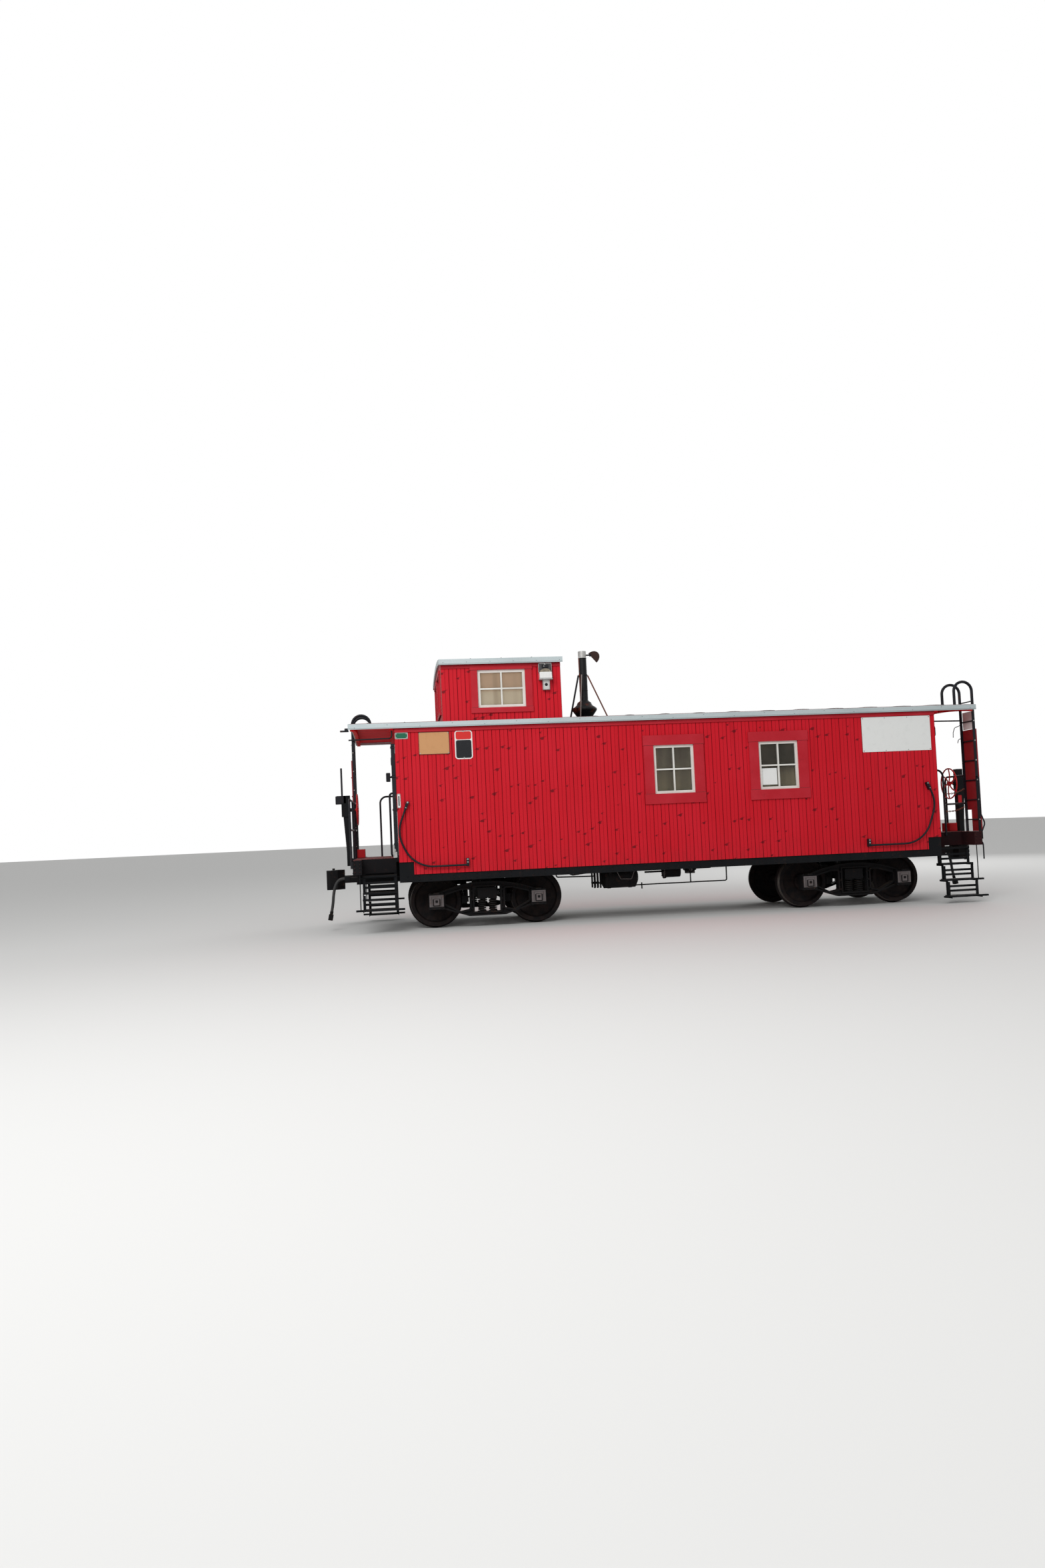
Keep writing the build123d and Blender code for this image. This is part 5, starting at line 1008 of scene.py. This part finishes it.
chainLook = {"link": 0.040, "overlap": 0.74, "sag": 0.035,
             "runs": (((4.888, -1.003, 1.555), (5.312, -0.935, 1.625)),
                      ((4.888, -1.003, 1.862), (5.312, -0.935, 1.932)))}
k = chainLook
links = [[], []]
for first, last in k["runs"]:
    a, b = Vector(first), Vector(last)
    count = int((b - a).length / (k["link"] * k["overlap"]))
    spots = [a.lerp(b, t / count) - Vector((0, 0, k["sag"] * 4 * t / count * (1 - t / count)))
             for t in range(count + 1)]
    for i in range(count):
        links[i % 2].append(((spots[i] + spots[i + 1]) / 2, spots[i + 1] - spots[i], k["link"]))
for name, group, turn in (("chainLinks", links[0], 0.0), ("chainLinksCross", links[1], pi / 2)):
    scatter(name, bpy.data.objects.new(name + "Template", linkMesh(turn)), group, "rust", spin=0.0)
print("stage: chains")

gearLook = {"floor": 1.132, "reservoir": -0.910, "cylinder": (-0.072, -0.600, 0.740), "ring": 0.110,
            "valve": (0.370, -0.690, 0.760), "pipe": 0.548, "rod": 0.011, "slats": (-1.345, -1.295, -1.245)}
k = gearLook
rx, (cx, cy, cz), (vx, vy, vz), top, low = k["reservoir"], k["cylinder"], k["valve"], k["floor"], k["pipe"]
cradle = ((-0.11, top), (-0.10, 0.860), (-0.01, 0.670), (0.173, 0.662), (0.25, 0.850), (0.26, top))
cradle = [(rx + dx, -1.066, z) for dx, z in cradle]
ring = [(cx, cy + k["ring"] * cos(a / 12 * pi), cz + k["ring"] * sin(a / 12 * pi)) for a in range(25)]
tubes("gearBright", [cradle], 0.007, 0.02, "lid", sides=8)
tubes("cylinderRing", [ring], 0.009, 0.0, "lid", sides=8)
routes = [((-0.530, 0.585), (-0.530, 0.480)), ((0.320, low), (0.320, top)),
          ((-1.980, top), (-1.980, 0.742), (-1.340, 0.730)),
          ((-1.800, top), (-1.790, 0.800), (-1.700, 0.765), (-1.460, 0.790), (-1.330, 0.790)),
          ((-1.540, 0.780), (-1.540, 0.832), (-1.330, 0.832))]
pipes = [[(-0.800, -0.880, 0.527), (-0.60, -0.900, low), (0.950, -0.900, low), (0.950, -0.900, top)]]
pipes += [[(x, -0.900, z) for x, z in route] for route in routes]
tubes("gearRods", pipes, k["rod"], 0.03, "cast", sides=10)
slats = [((x - 0.014, y, 0.530), (x + 0.014, y + 0.016, top)) for x in k["slats"] for y in (-0.966, -0.740)]
slats += [((-1.362, y, z), (-1.226, y + 0.022, z + 0.028)) for y in (-0.960, -0.746) for z in (0.600, 0.860)]
slats += [((-1.362, -0.960, z), (-1.338, -0.724, z + 0.028)) for z in (0.600, 0.860)]
addBoxes("gearSlats", slats, "cast")
gearBolts = [((cx, cy + k["ring"] * cos(i * pi / 4), cz + k["ring"] * sin(i * pi / 4)), (-1, 0, 0), 0.014)
             for i in range(8)]
gearBolts += [((vx + dx, vy - 0.070, vz + dz), (0, -1, 0), 0.013) for dx in (-0.05, 0.05) for dz in (-0.05, 0.05)]
scatter("gearBolts", bolt, gearBolts, "lid")
caps = [((vx, vy - 0.070, vz), (0, -1, 0), 0.036)]
caps += [((vx + way * 0.1, vy, vz + 0.01), (way, 0, 0), 0.032) for way in (-1, 1)]
scatter("valveCaps", rivet, caps, "lid")
print("stage: brake gear")

bracket = [((-5.655, 0.440, 2.150), (-5.470, 0.560, 2.292)), ((-5.556, 0.486, 2.290), (-5.524, 0.514, 2.790)),
           ((-5.640, 0.480, 2.290), (-5.500, 0.520, 2.300))]  # the box and post on the left brake stand
addBoxes("lampBracket", bracket, "railing", 0.004)
roofBar = [((-5.432, -1.412, 3.240), (-5.295, -1.388, 3.268)), ((-5.360, -1.412, 3.262), (-5.300, -1.388, 3.300))]
addBoxes("roofBar", roofBar, "railing", 0.004)
standPlates = [box((sign * 5.400, sign * 5.470), (-sign * 0.562, -sign * 0.556), (1.690, 1.830)) for sign in (-1, 1)]
addBoxes("standPlates", standPlates, "redIron", 0.002)
print("stage: brake stands")

seams = []
for edge, places in ((roofLook["edge"], [-5.0, -4.4] + [-1.25 + 0.6 * i for i in range(11)]),
                     (roofLook["cupolaEdge"], [-3.3, -2.8, -2.3])):
    for x in places:
        seams.append([(x, y, archHeight(y, edge)) for y in (-1.455 + 2.91 * i / 12 for i in range(13))])
tubes("roofSeams", seams, roofLook["rib"], 0.0, "seam", sides=8)
carlines = [((sign * 5.262, y, archHeight(y) - 0.075), (sign, 0, 0), 0.013) for sign in (-1, 1)
            for y in (-1.30 + 2.6 * i / 18 for i in range(19))]
scatter("carlineBolts", bolt, carlines, "dark")
print("stage: roof seams")
